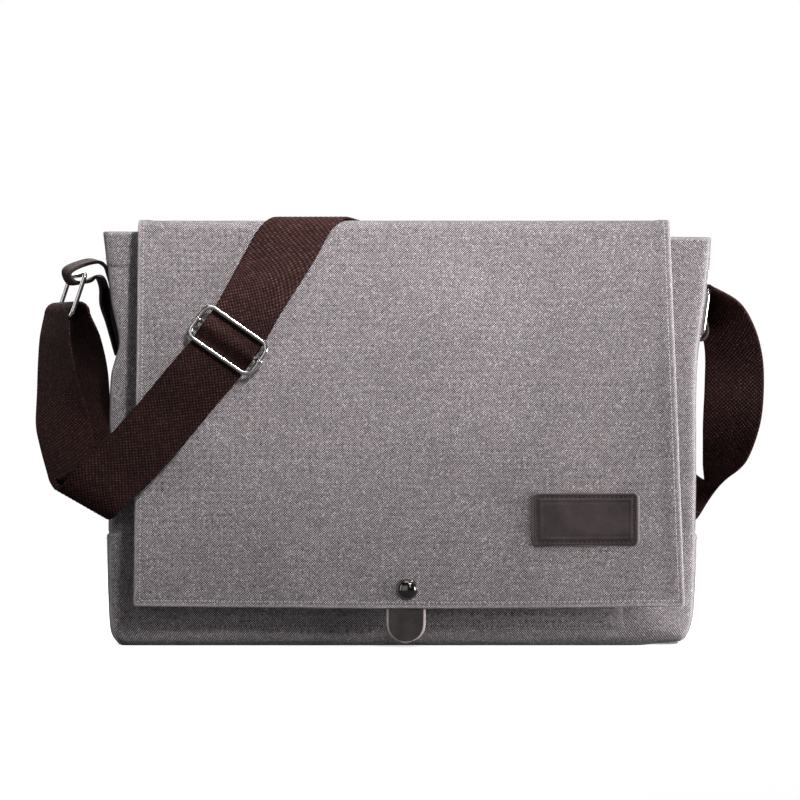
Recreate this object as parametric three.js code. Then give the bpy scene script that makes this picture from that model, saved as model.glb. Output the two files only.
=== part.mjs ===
// Canvas messenger bag: a sewn body under a full-width flap, leather trim and a webbing shoulder strap.
// Millimetres, +Z up. The front faces -Y. The origin is the middle of the underside of the base.
import * as THREE from 'three';

// ---- Driving dimensions ----
const BODY_TOP = 283;               // height of the body's top edge
const CLOTH = 2.4;                  // body canvas, folded and faced
const GAP = 0.4;                    // between pieces that lie on each other
const BASE_HALF = { x: 189, y: 41 };
const BODY_MIDDLE_Y = 1;            // the back is a little further from the middle than the front
const BOARD = { width: 370, depth: 76, thickness: 2 };
const LINING_THICKNESS = 1;
const LINING_TOP = 277;
const SIDE_ROOM = 1.2;              // the lining is cut a little shorter than the bag

const FLAP = {
  left: -179, right: 181, leftLow: -181, rightLow: 190, // edges at the fold and at the hem
  hem: 28, top: 290.2, frontEdge: -44, backEdge: 38,
  faceAtFold: -51, faceAtHem: -63, frontTop: 281.5,
  outer: 2.2, lining: 1.4,
};
const POCKET = { halfWidth: 150, bottom: 12, top: 222, depth: 6.2, cloth: 1.4 };
const PATCH = { left: 88, right: 160, bottom: 68, top: 104, thickness: 1.8, corner: 4 };
const SNAP = { x: 3, z: 39.5, radius: 7, dome: 3.2 };
const PULL_TAB = { left: -11, right: 15.6, bottom: 3, thickness: 1.8 };

const STRAP = { width: 41, thickness: 1.8 };
const WIRE_RADIUS = 1.65;
const RING = { width: 49, height: 33, corner: 5 };
const ADJUSTER = { width: 48.6, height: 25.4, corner: 6, barRadius: 1.2 };
const ADJUSTER_CENTRE = { x: -118, z: 208 };
const ADJUSTER_REACH = 13;          // half of the strap that passes through the adjuster
const TAB_THICKNESS = 1.8;

// ---- Materials ----
function material(color, roughness, metalness = 0) {
  return new THREE.MeshStandardMaterial({ color, roughness, metalness });
}

const canvas = () => material(0x85807f, 0.95);
const liningCloth = () => material(0x4a4645, 0.9);
const webbing = () => material(0x33211e, 0.85);
const leather = () => material(0x4e4444, 0.6);
const nickel = () => material(0x9a9896, 0.25, 1);
const board = () => material(0x2b2b2b, 0.9);

// ---- Helpers ----
const group = new THREE.Group();
group.name = 'messenger_bag';

function add(name, geometry, finish) {
  const mesh = new THREE.Mesh(geometry, finish);
  mesh.name = name;
  group.add(mesh);
  return mesh;
}

const mix = THREE.MathUtils.lerp;
const vec = (x, y, z) => new THREE.Vector3(x, y, z);

// A smooth value along heights, from a list of [height, value] stations.
function profile(stations) {
  const curve = new THREE.CatmullRomCurve3(stations.map(([z, x]) => vec(x, 0, z)), false, 'centripetal');
  const samples = curve.getPoints(80);
  return (z) => {
    const after = samples.findIndex((p) => p.z >= z);
    if (after === 0) return samples[0].x;
    if (after < 0) return samples[samples.length - 1].x;
    const low = samples[after - 1];
    const high = samples[after];
    return mix(low.x, high.x, (z - low.z) / (high.z - low.z));
  };
}

function meshFrom(points, quads) {
  const index = quads.flatMap(([a, b, c, d]) => [a, b, c, a, c, d]);
  const geometry = new THREE.BufferGeometry().setFromPoints(points);
  let volume = 0;
  for (let i = 0; i < index.length; i += 3) {
    const [a, b, c] = [points[index[i]], points[index[i + 1]], points[index[i + 2]]];
    volume += a.dot(b.clone().cross(c));
  }
  if (volume < 0) index.reverse();
  geometry.setIndex(index);
  geometry.computeVertexNormals();
  return geometry;
}

// A closed shell between two grids of points: pointAt(i, j, layer), with layer 0 or 1.
function shell(pointAt, stepsU, stepsV) {
  const points = [];
  for (const layer of [0, 1]) {
    for (let j = 0; j <= stepsV; j += 1) {
      for (let i = 0; i <= stepsU; i += 1) points.push(pointAt(i, j, layer));
    }
  }
  const row = stepsU + 1;
  const second = row * (stepsV + 1);
  const quads = [];
  for (let j = 0; j < stepsV; j += 1) {
    for (let i = 0; i < stepsU; i += 1) {
      const a = j * row + i;
      quads.push([a, a + row, a + row + 1, a + 1]);
      quads.push([second + a, second + a + 1, second + a + row + 1, second + a + row]);
    }
  }
  const rim = [];
  for (let i = 0; i < stepsU; i += 1) rim.push(i);
  for (let j = 0; j < stepsV; j += 1) rim.push(j * row + stepsU);
  for (let i = stepsU; i > 0; i -= 1) rim.push(stepsV * row + i);
  for (let j = stepsV; j > 0; j -= 1) rim.push(j * row);
  rim.forEach((a, k) => {
    const b = rim[(k + 1) % rim.length];
    quads.push([a, b, b + second, a + second]);
  });
  return meshFrom(points, quads);
}

// A closed sheet along surface(u, v), between two offsets along its normal (du x dv) or a given direction.
function sheet(surface, low, high, stepsU, stepsV, direction = null) {
  const small = 0.004;
  return shell((i, j, layer) => {
    const u = i / stepsU;
    const v = j / stepsV;
    const along = surface(Math.min(u + small, 1), v).sub(surface(Math.max(u - small, 0), v));
    const across = surface(u, Math.min(v + small, 1)).sub(surface(u, Math.max(v - small, 0)));
    const normal = direction ?? along.cross(across).normalize();
    return surface(u, v).addScaledVector(normal, layer === 0 ? low : high);
  }, stepsU, stepsV);
}

// A flat band through stations [centre, across]: across is the vector from one edge to the other.
function band(stations, thickness, steps, stepsAcross = 1) {
  const centre = new THREE.CatmullRomCurve3(stations.map(([c]) => vec(...c)), false, 'centripetal');
  const across = new THREE.CatmullRomCurve3(stations.map(([, a]) => vec(...a)), false, 'catmullrom');
  const surface = (u, v) => centre.getPoint(u).addScaledVector(across.getPoint(u), v - 0.5);
  return sheet(surface, -thickness / 2, thickness / 2, steps, stepsAcross);
}

// A closed rounded rectangle in the plane of two unit vectors.
class RoundedLoop extends THREE.Curve {
  constructor(centre, alongWidth, alongHeight, width, height, corner) {
    super();
    const outline = new THREE.Shape();
    const x = width / 2;
    const y = height / 2;
    outline.moveTo(0, -y).lineTo(x - corner, -y);
    outline.absarc(x - corner, -y + corner, corner, -Math.PI / 2, 0);
    outline.absarc(x - corner, y - corner, corner, 0, Math.PI / 2);
    outline.absarc(-x + corner, y - corner, corner, Math.PI / 2, Math.PI);
    outline.absarc(-x + corner, -y + corner, corner, Math.PI, 1.5 * Math.PI);
    outline.lineTo(0, -y);
    Object.assign(this, { centre, alongWidth, alongHeight, outline });
  }

  getPoint(t) {
    const p = this.outline.getPointAt(t % 1);
    return this.centre.clone().addScaledVector(this.alongWidth, p.x).addScaledVector(this.alongHeight, p.y);
  }
}

function wireLoop(centre, alongWidth, alongHeight, size) {
  const loop = new RoundedLoop(centre, alongWidth, alongHeight,
    size.width - 2 * WIRE_RADIUS, size.height - 2 * WIRE_RADIUS, size.corner);
  return new THREE.TubeGeometry(loop, 40, WIRE_RADIUS, 8, true);
}

// A turned piece on the sloping front, from [radius, depth] points: depth grows away from the bag.
const FRONT_TILT = Math.atan2(FLAP.faceAtFold - FLAP.faceAtHem, BODY_TOP - FLAP.hem);
function turned(points, x, y, z, segments = 24) {
  const geometry = new THREE.LatheGeometry(points.map(([r, d]) => new THREE.Vector2(r, d)), segments);
  geometry.scale(1, -1, 1);
  const index = geometry.getIndex();
  for (let i = 0; i < index.count; i += 3) {
    const a = index.getX(i);
    index.setX(i, index.getX(i + 2));
    index.setX(i + 2, a);
  }
  return geometry.rotateX(-FRONT_TILT).translate(x, y, z);
}

// ---- Body shape ----
// X of the left and right edges at each height Z
const leftEdge = profile([
  [0, -193], [8, -198], [20, -200], [90, -201], [150, -201], [210, -193], [262, -202], [284, -205],
]);
const rightEdge = profile([
  [0, 192], [8, 196], [22, 199], [109, 201], [193, 202], [248, 208], [284, 211],
]);
const frontFace = (z) => mix(-44, -40, z / BODY_TOP);
const backFace = (z) => mix(46, 42, z / BODY_TOP);
const flapFace = (z) => mix(FLAP.faceAtHem, FLAP.faceAtFold, (z - FLAP.hem) / (BODY_TOP - FLAP.hem));
const LEFT_PINCH = 2;
const RIGHT_PINCH = 8;
const pinchAt = (z, most) => most * THREE.MathUtils.smoothstep(z, 60, 215);

function gussetX(side, z, v) {
  const edge = side < 0 ? leftEdge(z) : rightEdge(z);
  const most = side < 0 ? LEFT_PINCH : RIGHT_PINCH;
  return edge - side * pinchAt(z, most) * Math.sin(Math.PI * v);
}

function bodyPanels() {
  const low = 1;
  const panel = (face) => (u, v) => {
    const z = mix(low, BODY_TOP, v);
    return vec(mix(leftEdge(z), rightEdge(z), u), face(z), z);
  };
  add('front_panel', sheet(panel(frontFace), -CLOTH, 0, 8, 12), canvas());
  add('back_panel', sheet(panel(backFace), 0, CLOTH, 8, 12), canvas());
  for (const [name, side] of [['left_gusset', -1], ['right_gusset', 1]]) {
    const surface = (u, v) => {
      const z = mix(low, BODY_TOP, v);
      const inset = CLOTH + GAP;
      return vec(gussetX(side, z, u), mix(frontFace(z) + inset, backFace(z) - inset, u), z);
    };
    const [from, to] = side < 0 ? [0, CLOTH] : [-CLOTH, 0];
    add(name, sheet(surface, from, to, 6, 14, vec(1, 0, 0)), canvas());
  }
  const base = new THREE.BoxGeometry(2 * BASE_HALF.x, 2 * BASE_HALF.y, CLOTH);
  add('base_panel', base.translate(0, BODY_MIDDLE_Y, CLOTH / 2), canvas());
  const boardZ = CLOTH + GAP + BOARD.thickness / 2;
  const stiffener = new THREE.BoxGeometry(BOARD.width, BOARD.depth, BOARD.thickness);
  add('base_board', stiffener.translate(0, BODY_MIDDLE_Y, boardZ), board());
}

// The lining is one sewn bag: an open box that follows the inside of the panels.
function bodyLining() {
  const bottom = CLOTH + GAP + BOARD.thickness + GAP;
  const levels = [0, 0.05, 0.2, 0.35, 0.48, 0.58, 0.66, 0.74, 0.82, 0.9, 1];
  const heights = levels.map((t) => mix(bottom, LINING_TOP, t));
  const sides = 5;
  const outline = (z, inset) => {
    const reach = CLOTH + GAP + inset;
    const front = frontFace(z) + reach;
    const back = backFace(z) - reach;
    const corner = bottom + 12;
    const rounding = z < corner ? 5 * (1 - (z - bottom) / 12) : 0;
    const ring = [];
    const sideInset = reach + SIDE_ROOM + rounding;
    for (let k = 0; k <= sides; k += 1) {
      ring.push([gussetX(-1, z, k / sides) + sideInset, mix(front, back, k / sides), z]);
    }
    for (let k = 0; k <= sides; k += 1) {
      ring.push([gussetX(1, z, 1 - k / sides) - sideInset, mix(back, front, k / sides), z]);
    }
    return ring.map((p) => vec(...p));
  };
  const points = [];
  heights.forEach((z) => points.push(...outline(z, 0)));
  heights.forEach((z, k) => {
    const ring = outline(z, LINING_THICKNESS);
    if (k === 0) ring.forEach((p) => { p.z += LINING_THICKNESS; });
    points.push(...ring);
  });
  const count = 2 * (sides + 1);
  const layer = count * heights.length;
  const quads = [];
  for (let j = 0; j < heights.length - 1; j += 1) {
    for (let i = 0; i < count; i += 1) {
      const a = j * count + i;
      const b = j * count + ((i + 1) % count);
      quads.push([a, b, b + count, a + count]);
      quads.push([layer + a, layer + a + count, layer + b + count, layer + b]);
    }
  }
  const rimStart = (heights.length - 1) * count;
  for (let i = 0; i < count; i += 1) {
    const a = rimStart + i;
    const b = rimStart + ((i + 1) % count);
    quads.push([a, b, b + layer, a + layer]);
  }
  for (let k = 0; k < sides; k += 1) {
    const [a, b, c, d] = [k, k + 1, count - 2 - k, count - 1 - k];
    quads.push([a, d, c, b]);
    quads.push([layer + a, layer + b, layer + c, layer + d]);
  }
  add('lining', meshFrom(points, quads), liningCloth());
}

// A patch pocket on the front panel: its face stands off the panel, its sides and bottom turn back to it.
function frontPocket() {
  const columns = 10;
  const rows = 7;
  const corner = 3;
  const pointAt = (i, j, layer) => {
    const inset = layer * POCKET.cloth;
    const onSide = i === 0 || i === columns;
    const atPanel = onSide || j === 0;
    // the corner of the outline on the panel is cut off in two short steps
    const fromSide = j === 0 ? (onSide ? corner * 0.3 : (i === 1 || i === columns - 1) && corner) : 0;
    const fromBottom = onSide ? (j === 0 ? corner * 0.3 : j === 1 && corner) : 0;
    const half = POCKET.halfWidth - inset - fromSide;
    const x = mix(-half, half, THREE.MathUtils.clamp((i - 1) / (columns - 2), 0, 1));
    const z = mix(POCKET.bottom + inset + fromBottom, POCKET.top, Math.max(j - 1, 0) / (rows - 1));
    const depth = atPanel ? GAP : POCKET.depth + POCKET.cloth - inset;
    return vec(x, frontFace(z) - depth, z);
  };
  add('front_pocket', shell(pointAt, columns, rows), canvas());
}

// ---- Flap ----
function flapPieces() {
  const flapLeft = (z) => mix(FLAP.leftLow, FLAP.left, (z - FLAP.hem) / (FLAP.frontTop - FLAP.hem));
  const flapRight = (z) => mix(FLAP.rightLow, FLAP.right, (z - FLAP.hem) / (FLAP.frontTop - FLAP.hem));
  const hemAt = (u) => FLAP.hem - 1.5 * Math.sin(Math.PI * u);
  const top = (u, v) => vec(mix(FLAP.left, FLAP.right, u), mix(FLAP.frontEdge, FLAP.backEdge, v), FLAP.top);
  const front = (u, v) => {
    const z = mix(hemAt(u), FLAP.frontTop, v);
    return vec(mix(flapLeft(z), flapRight(z), u), flapFace(z), z);
  };
  const inner = [-FLAP.outer - GAP - FLAP.lining, -FLAP.outer - GAP];
  add('flap_top_canvas', sheet(top, -FLAP.outer, 0, 8, 3), canvas());
  add('flap_top_lining', sheet(top, ...inner, 8, 3), liningCloth());
  add('flap_front_canvas', sheet(front, -FLAP.outer, 0, 10, 8), canvas());
  add('flap_front_lining', sheet(front, ...inner, 10, 8), liningCloth());
}

// A flat plate from an outline in X and Z, laid on the flap's sloping face.
function plateOnFlap(outline, thickness, offset, z) {
  const options = { depth: thickness, bevelEnabled: false, curveSegments: 6 };
  const geometry = new THREE.ExtrudeGeometry(outline, options);
  geometry.translate(0, 0, offset).rotateX(Math.PI / 2 - FRONT_TILT);
  return geometry.translate(0, flapFace(z), z);
}

function roundedRect(width, height, corner) {
  const [x, y] = [width / 2, height / 2];
  const outline = new THREE.Shape();
  outline.moveTo(-x + corner, -y).lineTo(x - corner, -y);
  outline.absarc(x - corner, -y + corner, corner, -Math.PI / 2, 0);
  outline.lineTo(x, y - corner).absarc(x - corner, y - corner, corner, 0, Math.PI / 2);
  outline.lineTo(-x + corner, y).absarc(-x + corner, y - corner, corner, Math.PI / 2, Math.PI);
  outline.lineTo(-x, -y + corner).absarc(-x + corner, -y + corner, corner, Math.PI, 1.5 * Math.PI);
  return outline;
}

function flapTrim() {
  const patchZ = (PATCH.bottom + PATCH.top) / 2;
  const patch = roundedRect(PATCH.right - PATCH.left, PATCH.top - PATCH.bottom, PATCH.corner);
  const patchX = (PATCH.left + PATCH.right) / 2;
  const patchPlate = plateOnFlap(patch, PATCH.thickness, GAP, patchZ);
  add('leather_patch', patchPlate.translate(patchX, 0, 0), leather());

  const { x, z, radius, dome } = SNAP;
  const cap = [[0, GAP], [radius, GAP], [radius, GAP + 0.8]];
  for (let k = 1; k <= 5; k += 1) {
    const angle = (k / 5) * (Math.PI / 2);
    const reach = k === 5 ? 0 : (radius - 0.5) * Math.cos(angle);
    cap.push([reach, GAP + 0.8 + (dome - 0.8) * Math.sin(angle)]);
  }
  add('snap_cap', turned(cap, x, flapFace(z), z), nickel());
  const inside = -(FLAP.outer + GAP + FLAP.lining + GAP);
  const rear = inside - 2.4;
  const socket = [[3.8, rear], [7, rear], [7, inside], [3.8, inside], [3.8, rear]];
  add('snap_socket', turned(socket, x, flapFace(z), z), nickel());
  const stud = [[0, GAP], [6, GAP], [6, GAP + 1], [2.8, GAP + 1.4], [2.6, GAP + 2.6], [0, GAP + 3]];
  const pocketFace = frontFace(z) - POCKET.depth - POCKET.cloth;
  add('snap_stud', turned(stud, x, pocketFace, z), nickel());
}

function pullTab() {
  const { left, right, bottom, thickness } = PULL_TAB;
  const top = FLAP.hem - 2.2;
  const half = (right - left) / 2;
  const outline = new THREE.Shape();
  outline.moveTo(-half, top).lineTo(-half, bottom + half * 0.7);
  outline.absellipse(0, bottom + half * 0.7, half, half * 0.7, Math.PI, 2 * Math.PI);
  outline.lineTo(half, top);
  const options = { depth: thickness, bevelEnabled: false, curveSegments: 10 };
  const geometry = new THREE.ExtrudeGeometry(outline, options);
  geometry.rotateX(Math.PI / 2).translate((left + right) / 2, FLAP.faceAtHem + 0.4 + thickness, 0);
  add('pull_tab', geometry, leather());
}

// ---- Rings and the leather tabs that hold them ----
const LEFT_BAR = vec(-0.33, 0.944, 0).normalize();
const LEFT_LEG = vec(-0.315, 0, -0.949).normalize();
const LEFT_HINGE = vec(-226, 0, 254.4);
const RIGHT_BAR = vec(0, 1, 0);
const RIGHT_LEG = vec(0.13, 0, 0.99).normalize();
const RIGHT_HINGE = vec(207, 0, 214);
const RING_REACH = RING.height - 2 * WIRE_RADIUS;

function rings() {
  const leftCentre = LEFT_HINGE.clone().addScaledVector(LEFT_LEG, RING_REACH / 2);
  add('left_ring', wireLoop(leftCentre, LEFT_BAR, LEFT_LEG, RING), nickel());
  const rightCentre = RIGHT_HINGE.clone().addScaledVector(RIGHT_LEG, RING_REACH / 2);
  add('right_ring', wireLoop(rightCentre, RIGHT_BAR, RIGHT_LEG, RING), nickel());
}

// Each tab is one strip: its two ends are sewn to the gusset, and its middle goes round the ring's bar.
function leatherTabs() {
  const width = 24;
  const level = [0, width, 0];
  const turnedWidth = LEFT_BAR.clone().multiplyScalar(width).toArray();
  const tail = [0, 5, 0];
  add('left_tab', band([
    [[-199.5, 0, 202], tail], [[-197.8, 0, 222], level], [[-200.4, 0, 240], level],
    [[-204, 0, 256], level], [[-213, 0, 263.5], turnedWidth], [[-224, 0, 261.5], turnedWidth],
    [[-230.6, 0, 255.5], turnedWidth], [[-226.8, 0, 250.6], turnedWidth], [[-219, 0, 251.4], turnedWidth],
    [[-210.5, 0, 252.5], level], [[-205.6, 0, 246], level], [[-204, 0, 235], level],
    [[-200.6, 0, 222], level], [[-202.2, 0, 202], tail],
  ], TAB_THICKNESS, 40, 2), leather());
  add('right_tab', band([
    [[204, 0, 190], tail], [[202.4, 0, 202], level], [[201.6, 0, 216], level],
    [[202, 0, 230], level], [[205.6, 0, 234.6], level], [[208.8, 0, 230], level],
    [[210.4, 0, 221], level], [[211.2, 0, 214], level], [[207.5, 0, 209.4], level],
    [[204.1, 0, 213.4], level], [[205.2, 0, 224], level],
  ], TAB_THICKNESS, 36, 2), leather());
}

// ---- Strap adjuster ----
const ACROSS = vec(0.82, 0, -0.573).normalize();
const FLAP_SLOPE = (FLAP.faceAtFold - FLAP.faceAtHem) / (BODY_TOP - FLAP.hem);
const ALONG = vec(0.573, 0.82 * FLAP_SLOPE, 0.82).normalize();
const UNDER_LIFT = 1.8;              // middle of the return layer above the flap
const OUTWARD = ACROSS.clone().cross(ALONG).normalize();  // away from the flap
const STRAP_LIFT = UNDER_LIFT + STRAP.thickness + 0.3; // middle of the main run above the flap
const ADJUSTER_ORIGIN = vec(ADJUSTER_CENTRE.x, flapFace(ADJUSTER_CENTRE.z), ADJUSTER_CENTRE.z);
const FRAME_LIFT = STRAP_LIFT + STRAP.thickness / 2 + 0.3 + WIRE_RADIUS;
const BAR_LIFT = FRAME_LIFT - 1;

// A place given along the strap, across it and away from the flap, from the adjuster's middle.
function atAdjuster(along, across, lift) {
  const p = ADJUSTER_ORIGIN.clone().addScaledVector(ALONG, along);
  return p.addScaledVector(ACROSS, across).addScaledVector(OUTWARD, lift);
}

function strapAdjuster() {
  add('adjuster_frame', wireLoop(atAdjuster(0, 0, FRAME_LIFT), ACROSS, ALONG, ADJUSTER), nickel());
  const half = ADJUSTER.width / 2 - 2 * WIRE_RADIUS - 0.3;
  const bar = new THREE.CylinderGeometry(ADJUSTER.barRadius, ADJUSTER.barRadius, 2 * half, 10);
  bar.applyQuaternion(new THREE.Quaternion().setFromUnitVectors(vec(0, 1, 0), ACROSS));
  const middle = atAdjuster(0, 0, BAR_LIFT);
  add('adjuster_bar', bar.translate(middle.x, middle.y, middle.z), nickel());
}

// ---- Webbing ----
const wide = (x, y, z) => vec(x, y, z).normalize().multiplyScalar(STRAP.width).toArray();
const onFlap = (x, z, lift = STRAP_LIFT) => [x, flapFace(z) - lift, z];
const overFold = [-STRAP.width / 0.82, 0, 0];               // cut along the fold of the flap
const acrossRun = ACROSS.clone().multiplyScalar(-STRAP.width).toArray();

function frontRun() {
  const upperStart = atAdjuster(ADJUSTER_REACH + 0.4, 0, STRAP_LIFT).toArray();
  const lowerStart = atAdjuster(-ADJUSTER_REACH - 0.4, 0, STRAP_LIFT).toArray();
  add('strap_front_upper', band([
    [upperStart, acrossRun], [onFlap(-99, 239), wide(-0.84, 0, 0.54)], [onFlap(-83, 263), overFold],
    [onFlap(-73, 279), overFold],
  ], STRAP.thickness, 8, 2), webbing());
  add('strap_front_lower', band([
    [[-203, -69.5, 110], wide(-0.81, 0, 0.585)], [[-192, -66.5, 119.5], wide(-0.8, 0, 0.6)],
    [[-172, -63.2, 141], wide(-0.77, 0, 0.63)], [onFlap(-159, 157), wide(-0.78, 0, 0.62)],
    [onFlap(-141, 179), wide(-0.8, 0, 0.6)], [lowerStart, acrossRun],
  ], STRAP.thickness, 14, 2), webbing());
  add('strap_return', band([
    [[-203, -66.2, 112], wide(-0.81, 0, 0.585)], [[-192, -64.2, 121], wide(-0.8, 0, 0.6)],
    [[-172, -61, 142], wide(-0.77, 0, 0.63)], [onFlap(-159, 157, UNDER_LIFT), wide(-0.78, 0, 0.62)],
    [onFlap(-141, 179, UNDER_LIFT), wide(-0.8, 0, 0.6)],
    [atAdjuster(-6, 0, UNDER_LIFT).toArray(), acrossRun],
  ], STRAP.thickness, 14, 2), webbing());

  const through = [];
  for (let k = -4; k <= 4; k += 1) {
    const along = (k / 4) * ADJUSTER_REACH;
    const crest = Math.abs(k) > 2 ? 0 : Math.cos((k / 3) * (Math.PI / 2)) ** 2;
    const lift = mix(STRAP_LIFT, BAR_LIFT + ADJUSTER.barRadius + 0.3 + STRAP.thickness / 2, crest);
    through.push([atAdjuster(along, 0, lift).toArray(), acrossRun]);
  }
  add('strap_at_adjuster', band(through, STRAP.thickness, 16, 2), webbing());
}

function overTheTop() {
  const lift = FLAP.top + GAP + STRAP.thickness / 2;
  add('strap_over_top', band([
    [[-63, FLAP.frontEdge + 1, lift], overFold], [[-33, 0, lift], overFold],
    [[-6, FLAP.backEdge, lift], overFold],
  ], STRAP.thickness, 6, 2), webbing());
}

function backRun() {
  const off = 2 + STRAP.thickness;
  const onBack = (x, z) => [x, backFace(z) + off, z];
  const side = wide(-0.68, 0, -0.73);
  add('strap_back_run', band([
    [onBack(6, 282), [-STRAP.width / 0.72, 0, 0]], [onBack(18, 270), [-STRAP.width / 0.72, 0, 0]],
    [onBack(60, 228), side], [onBack(130, 160), side], [onBack(180, 114), side],
  ], STRAP.thickness, 12, 2), webbing());
  add('strap_loop_right', band([
    [onBack(180.6, 113.4), side], [[205, 51, 95], wide(-0.62, 0.1, -0.78)],
    [[226, 36, 101], wide(-0.3, 0.62, -0.7)], [[233, 18, 122], wide(-0.42, 0.9, -0.1)],
    [[235, 8, 155], wide(-0.5, 0.86, 0)], [[235, 6, 182], wide(-0.5, 0.86, 0)],
    [[232, 4, 212], wide(-0.36, 0.93, 0)], [[226, 2, 235], wide(-0.2, 0.98, 0)],
    [[219, 0, 246.5], wide(0, 1, 0)],
  ], STRAP.thickness, 34, 2), webbing());
}

// The webbing that turns round a ring's outer bar: an arc from one side of the bar to the other.
function wrapRound(name, middle, bar, from, to, radius) {
  const stations = [];
  const steps = 6;
  for (let k = 0; k <= steps; k += 1) {
    const angle = mix(from, to, k / steps);
    const outward = vec(Math.cos(angle) * Math.sign(middle.x), 0, Math.sin(angle));
    const p = middle.clone().addScaledVector(outward, radius);
    stations.push([p.toArray(), bar.clone().multiplyScalar(STRAP.width - 1).toArray()]);
  }
  add(name, band(stations, STRAP.thickness, 12, 2), webbing());
}

function leftLoop() {
  const bar = LEFT_HINGE.clone().addScaledVector(LEFT_LEG, RING_REACH);
  wrapRound('strap_wrap_left', bar, LEFT_BAR, -0.2, Math.PI + 0.2, 4.6);
  add('strap_loop_left_outer', band([
    [[-241.4, -1, 224], wide(-0.33, 0.944, 0)], [[-245, -4, 208], wide(-0.4, 0.91, 0)],
    [[-245, -14, 184], wide(-0.62, 0.78, 0)], [[-238, -30, 158], wide(-0.8, 0.6, 0.06)],
    [[-231, -46, 132], wide(-0.84, 0.3, 0.45)], [[-225, -53, 114], wide(-0.84, 0.1, 0.53)],
  ], STRAP.thickness, 24, 2), webbing());
  add('strap_loop_left_inner', band([
    [[-231.2, 1, 224], wide(-0.33, 0.944, 0)], [[-225, 2, 208], wide(-0.4, 0.91, 0)],
    [[-224, -5, 184], wide(-0.62, 0.78, 0)], [[-220, -20, 158], wide(-0.8, 0.6, 0.06)],
    [[-222, -34, 140], wide(-0.84, 0.3, 0.45)], [[-221, -42, 126], wide(-0.84, 0.1, 0.53)],
  ], STRAP.thickness, 24, 2), webbing());
  add('strap_fold', band([
    [[-224.6, -53.6, 112.6], wide(-0.84, 0.1, 0.53)], [[-221, -58, 103], wide(-0.87, 0, 0.5)],
    [[-216, -63.5, 98.5], wide(-0.87, 0, 0.5)], [[-210, -68.5, 102], wide(-0.84, 0, 0.55)],
    [[-203.6, -69.6, 109.3], wide(-0.81, 0, 0.585)],
  ], STRAP.thickness, 14, 2), webbing());
}

function rightWrap() {
  const bar = RIGHT_HINGE.clone().addScaledVector(RIGHT_LEG, RING_REACH);
  wrapRound('strap_wrap_right', bar, RIGHT_BAR, -0.9, Math.PI + 0.5, 4.6);
}

bodyPanels();
bodyLining();
frontPocket();
flapPieces();
flapTrim();
pullTab();
rings();
leatherTabs();
strapAdjuster();
frontRun();
overTheTop();
backRun();
leftLoop();
rightWrap();

export default group;
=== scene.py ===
import math

import bmesh
import bpy
import numpy as np
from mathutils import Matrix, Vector, noise


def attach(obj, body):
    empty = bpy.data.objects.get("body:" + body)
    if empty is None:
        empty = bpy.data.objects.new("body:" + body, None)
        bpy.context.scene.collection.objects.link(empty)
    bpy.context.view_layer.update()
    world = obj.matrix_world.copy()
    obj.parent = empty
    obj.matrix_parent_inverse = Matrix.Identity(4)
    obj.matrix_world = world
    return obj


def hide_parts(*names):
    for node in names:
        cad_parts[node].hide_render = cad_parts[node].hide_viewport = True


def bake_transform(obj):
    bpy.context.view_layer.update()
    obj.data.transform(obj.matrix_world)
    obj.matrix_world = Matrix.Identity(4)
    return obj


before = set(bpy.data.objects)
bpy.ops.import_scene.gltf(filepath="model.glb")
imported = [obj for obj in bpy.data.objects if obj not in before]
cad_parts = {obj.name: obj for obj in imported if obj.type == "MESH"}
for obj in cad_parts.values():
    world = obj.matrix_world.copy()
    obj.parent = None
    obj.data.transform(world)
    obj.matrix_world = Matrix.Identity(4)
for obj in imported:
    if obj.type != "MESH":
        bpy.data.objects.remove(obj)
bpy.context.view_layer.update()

# Lengths in this script are millimetres, in the frame's axes. They become metres where a mesh is made.
MM = 0.001

# ---------------------------------------------------------------- numbers shared with the CAD part
BODY_TOP = 283.0
FLAP_HEM, FLAP_TOP = 28.0, 290.2
FOLD_RADIUS = 9.0                 # outer face of the flap over its front fold
FOLD_Y, FOLD_Z = -42.0, 281.2
STRAP_WIDTH, STRAP_THICK = 41.0, 1.9
WIRE = 1.65                       # radius of the wire of the rings and the adjuster
CORNER = 6.0                      # vertical corners of the body
BOTTOM = 9.0                      # rounding where the body turns under
BAND_TOP, HEM_LOW = 76.0, 261.0   # seams of the lower band and of the top hem


def mix(a, b, t):
    return a + (b - a) * t


def smooth(low, high, x):
    t = np.clip((np.asarray(x, float) - low) / (high - low), 0, 1)
    return t * t * (3 - 2 * t)


def bump(x, middle, width):
    """A round bump of height 1 about the middle."""
    return np.exp(-((x - middle) / width) ** 2)


def unit(v):
    v = np.asarray(v, float)
    return v / np.maximum(np.linalg.norm(v, axis=-1, keepdims=True), 1e-9)


def distances(points):
    """Distance along a line of points, from its first point."""
    return np.concatenate([[0], np.cumsum(np.linalg.norm(np.diff(points, axis=0), axis=1))])


def sample(at, length, grid):
    """Values of a line's grid at distances along it."""
    return np.stack([np.interp(at, length, grid[:, k]) for k in range(3)], -1)


def arc(cx, cy, radius, start, end, steps=6):
    """Points on a flat arc between two angles in degrees."""
    angles = np.radians(np.linspace(start, end, steps))
    return [(cx + radius * math.cos(a), cy + radius * math.sin(a)) for a in angles]


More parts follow.
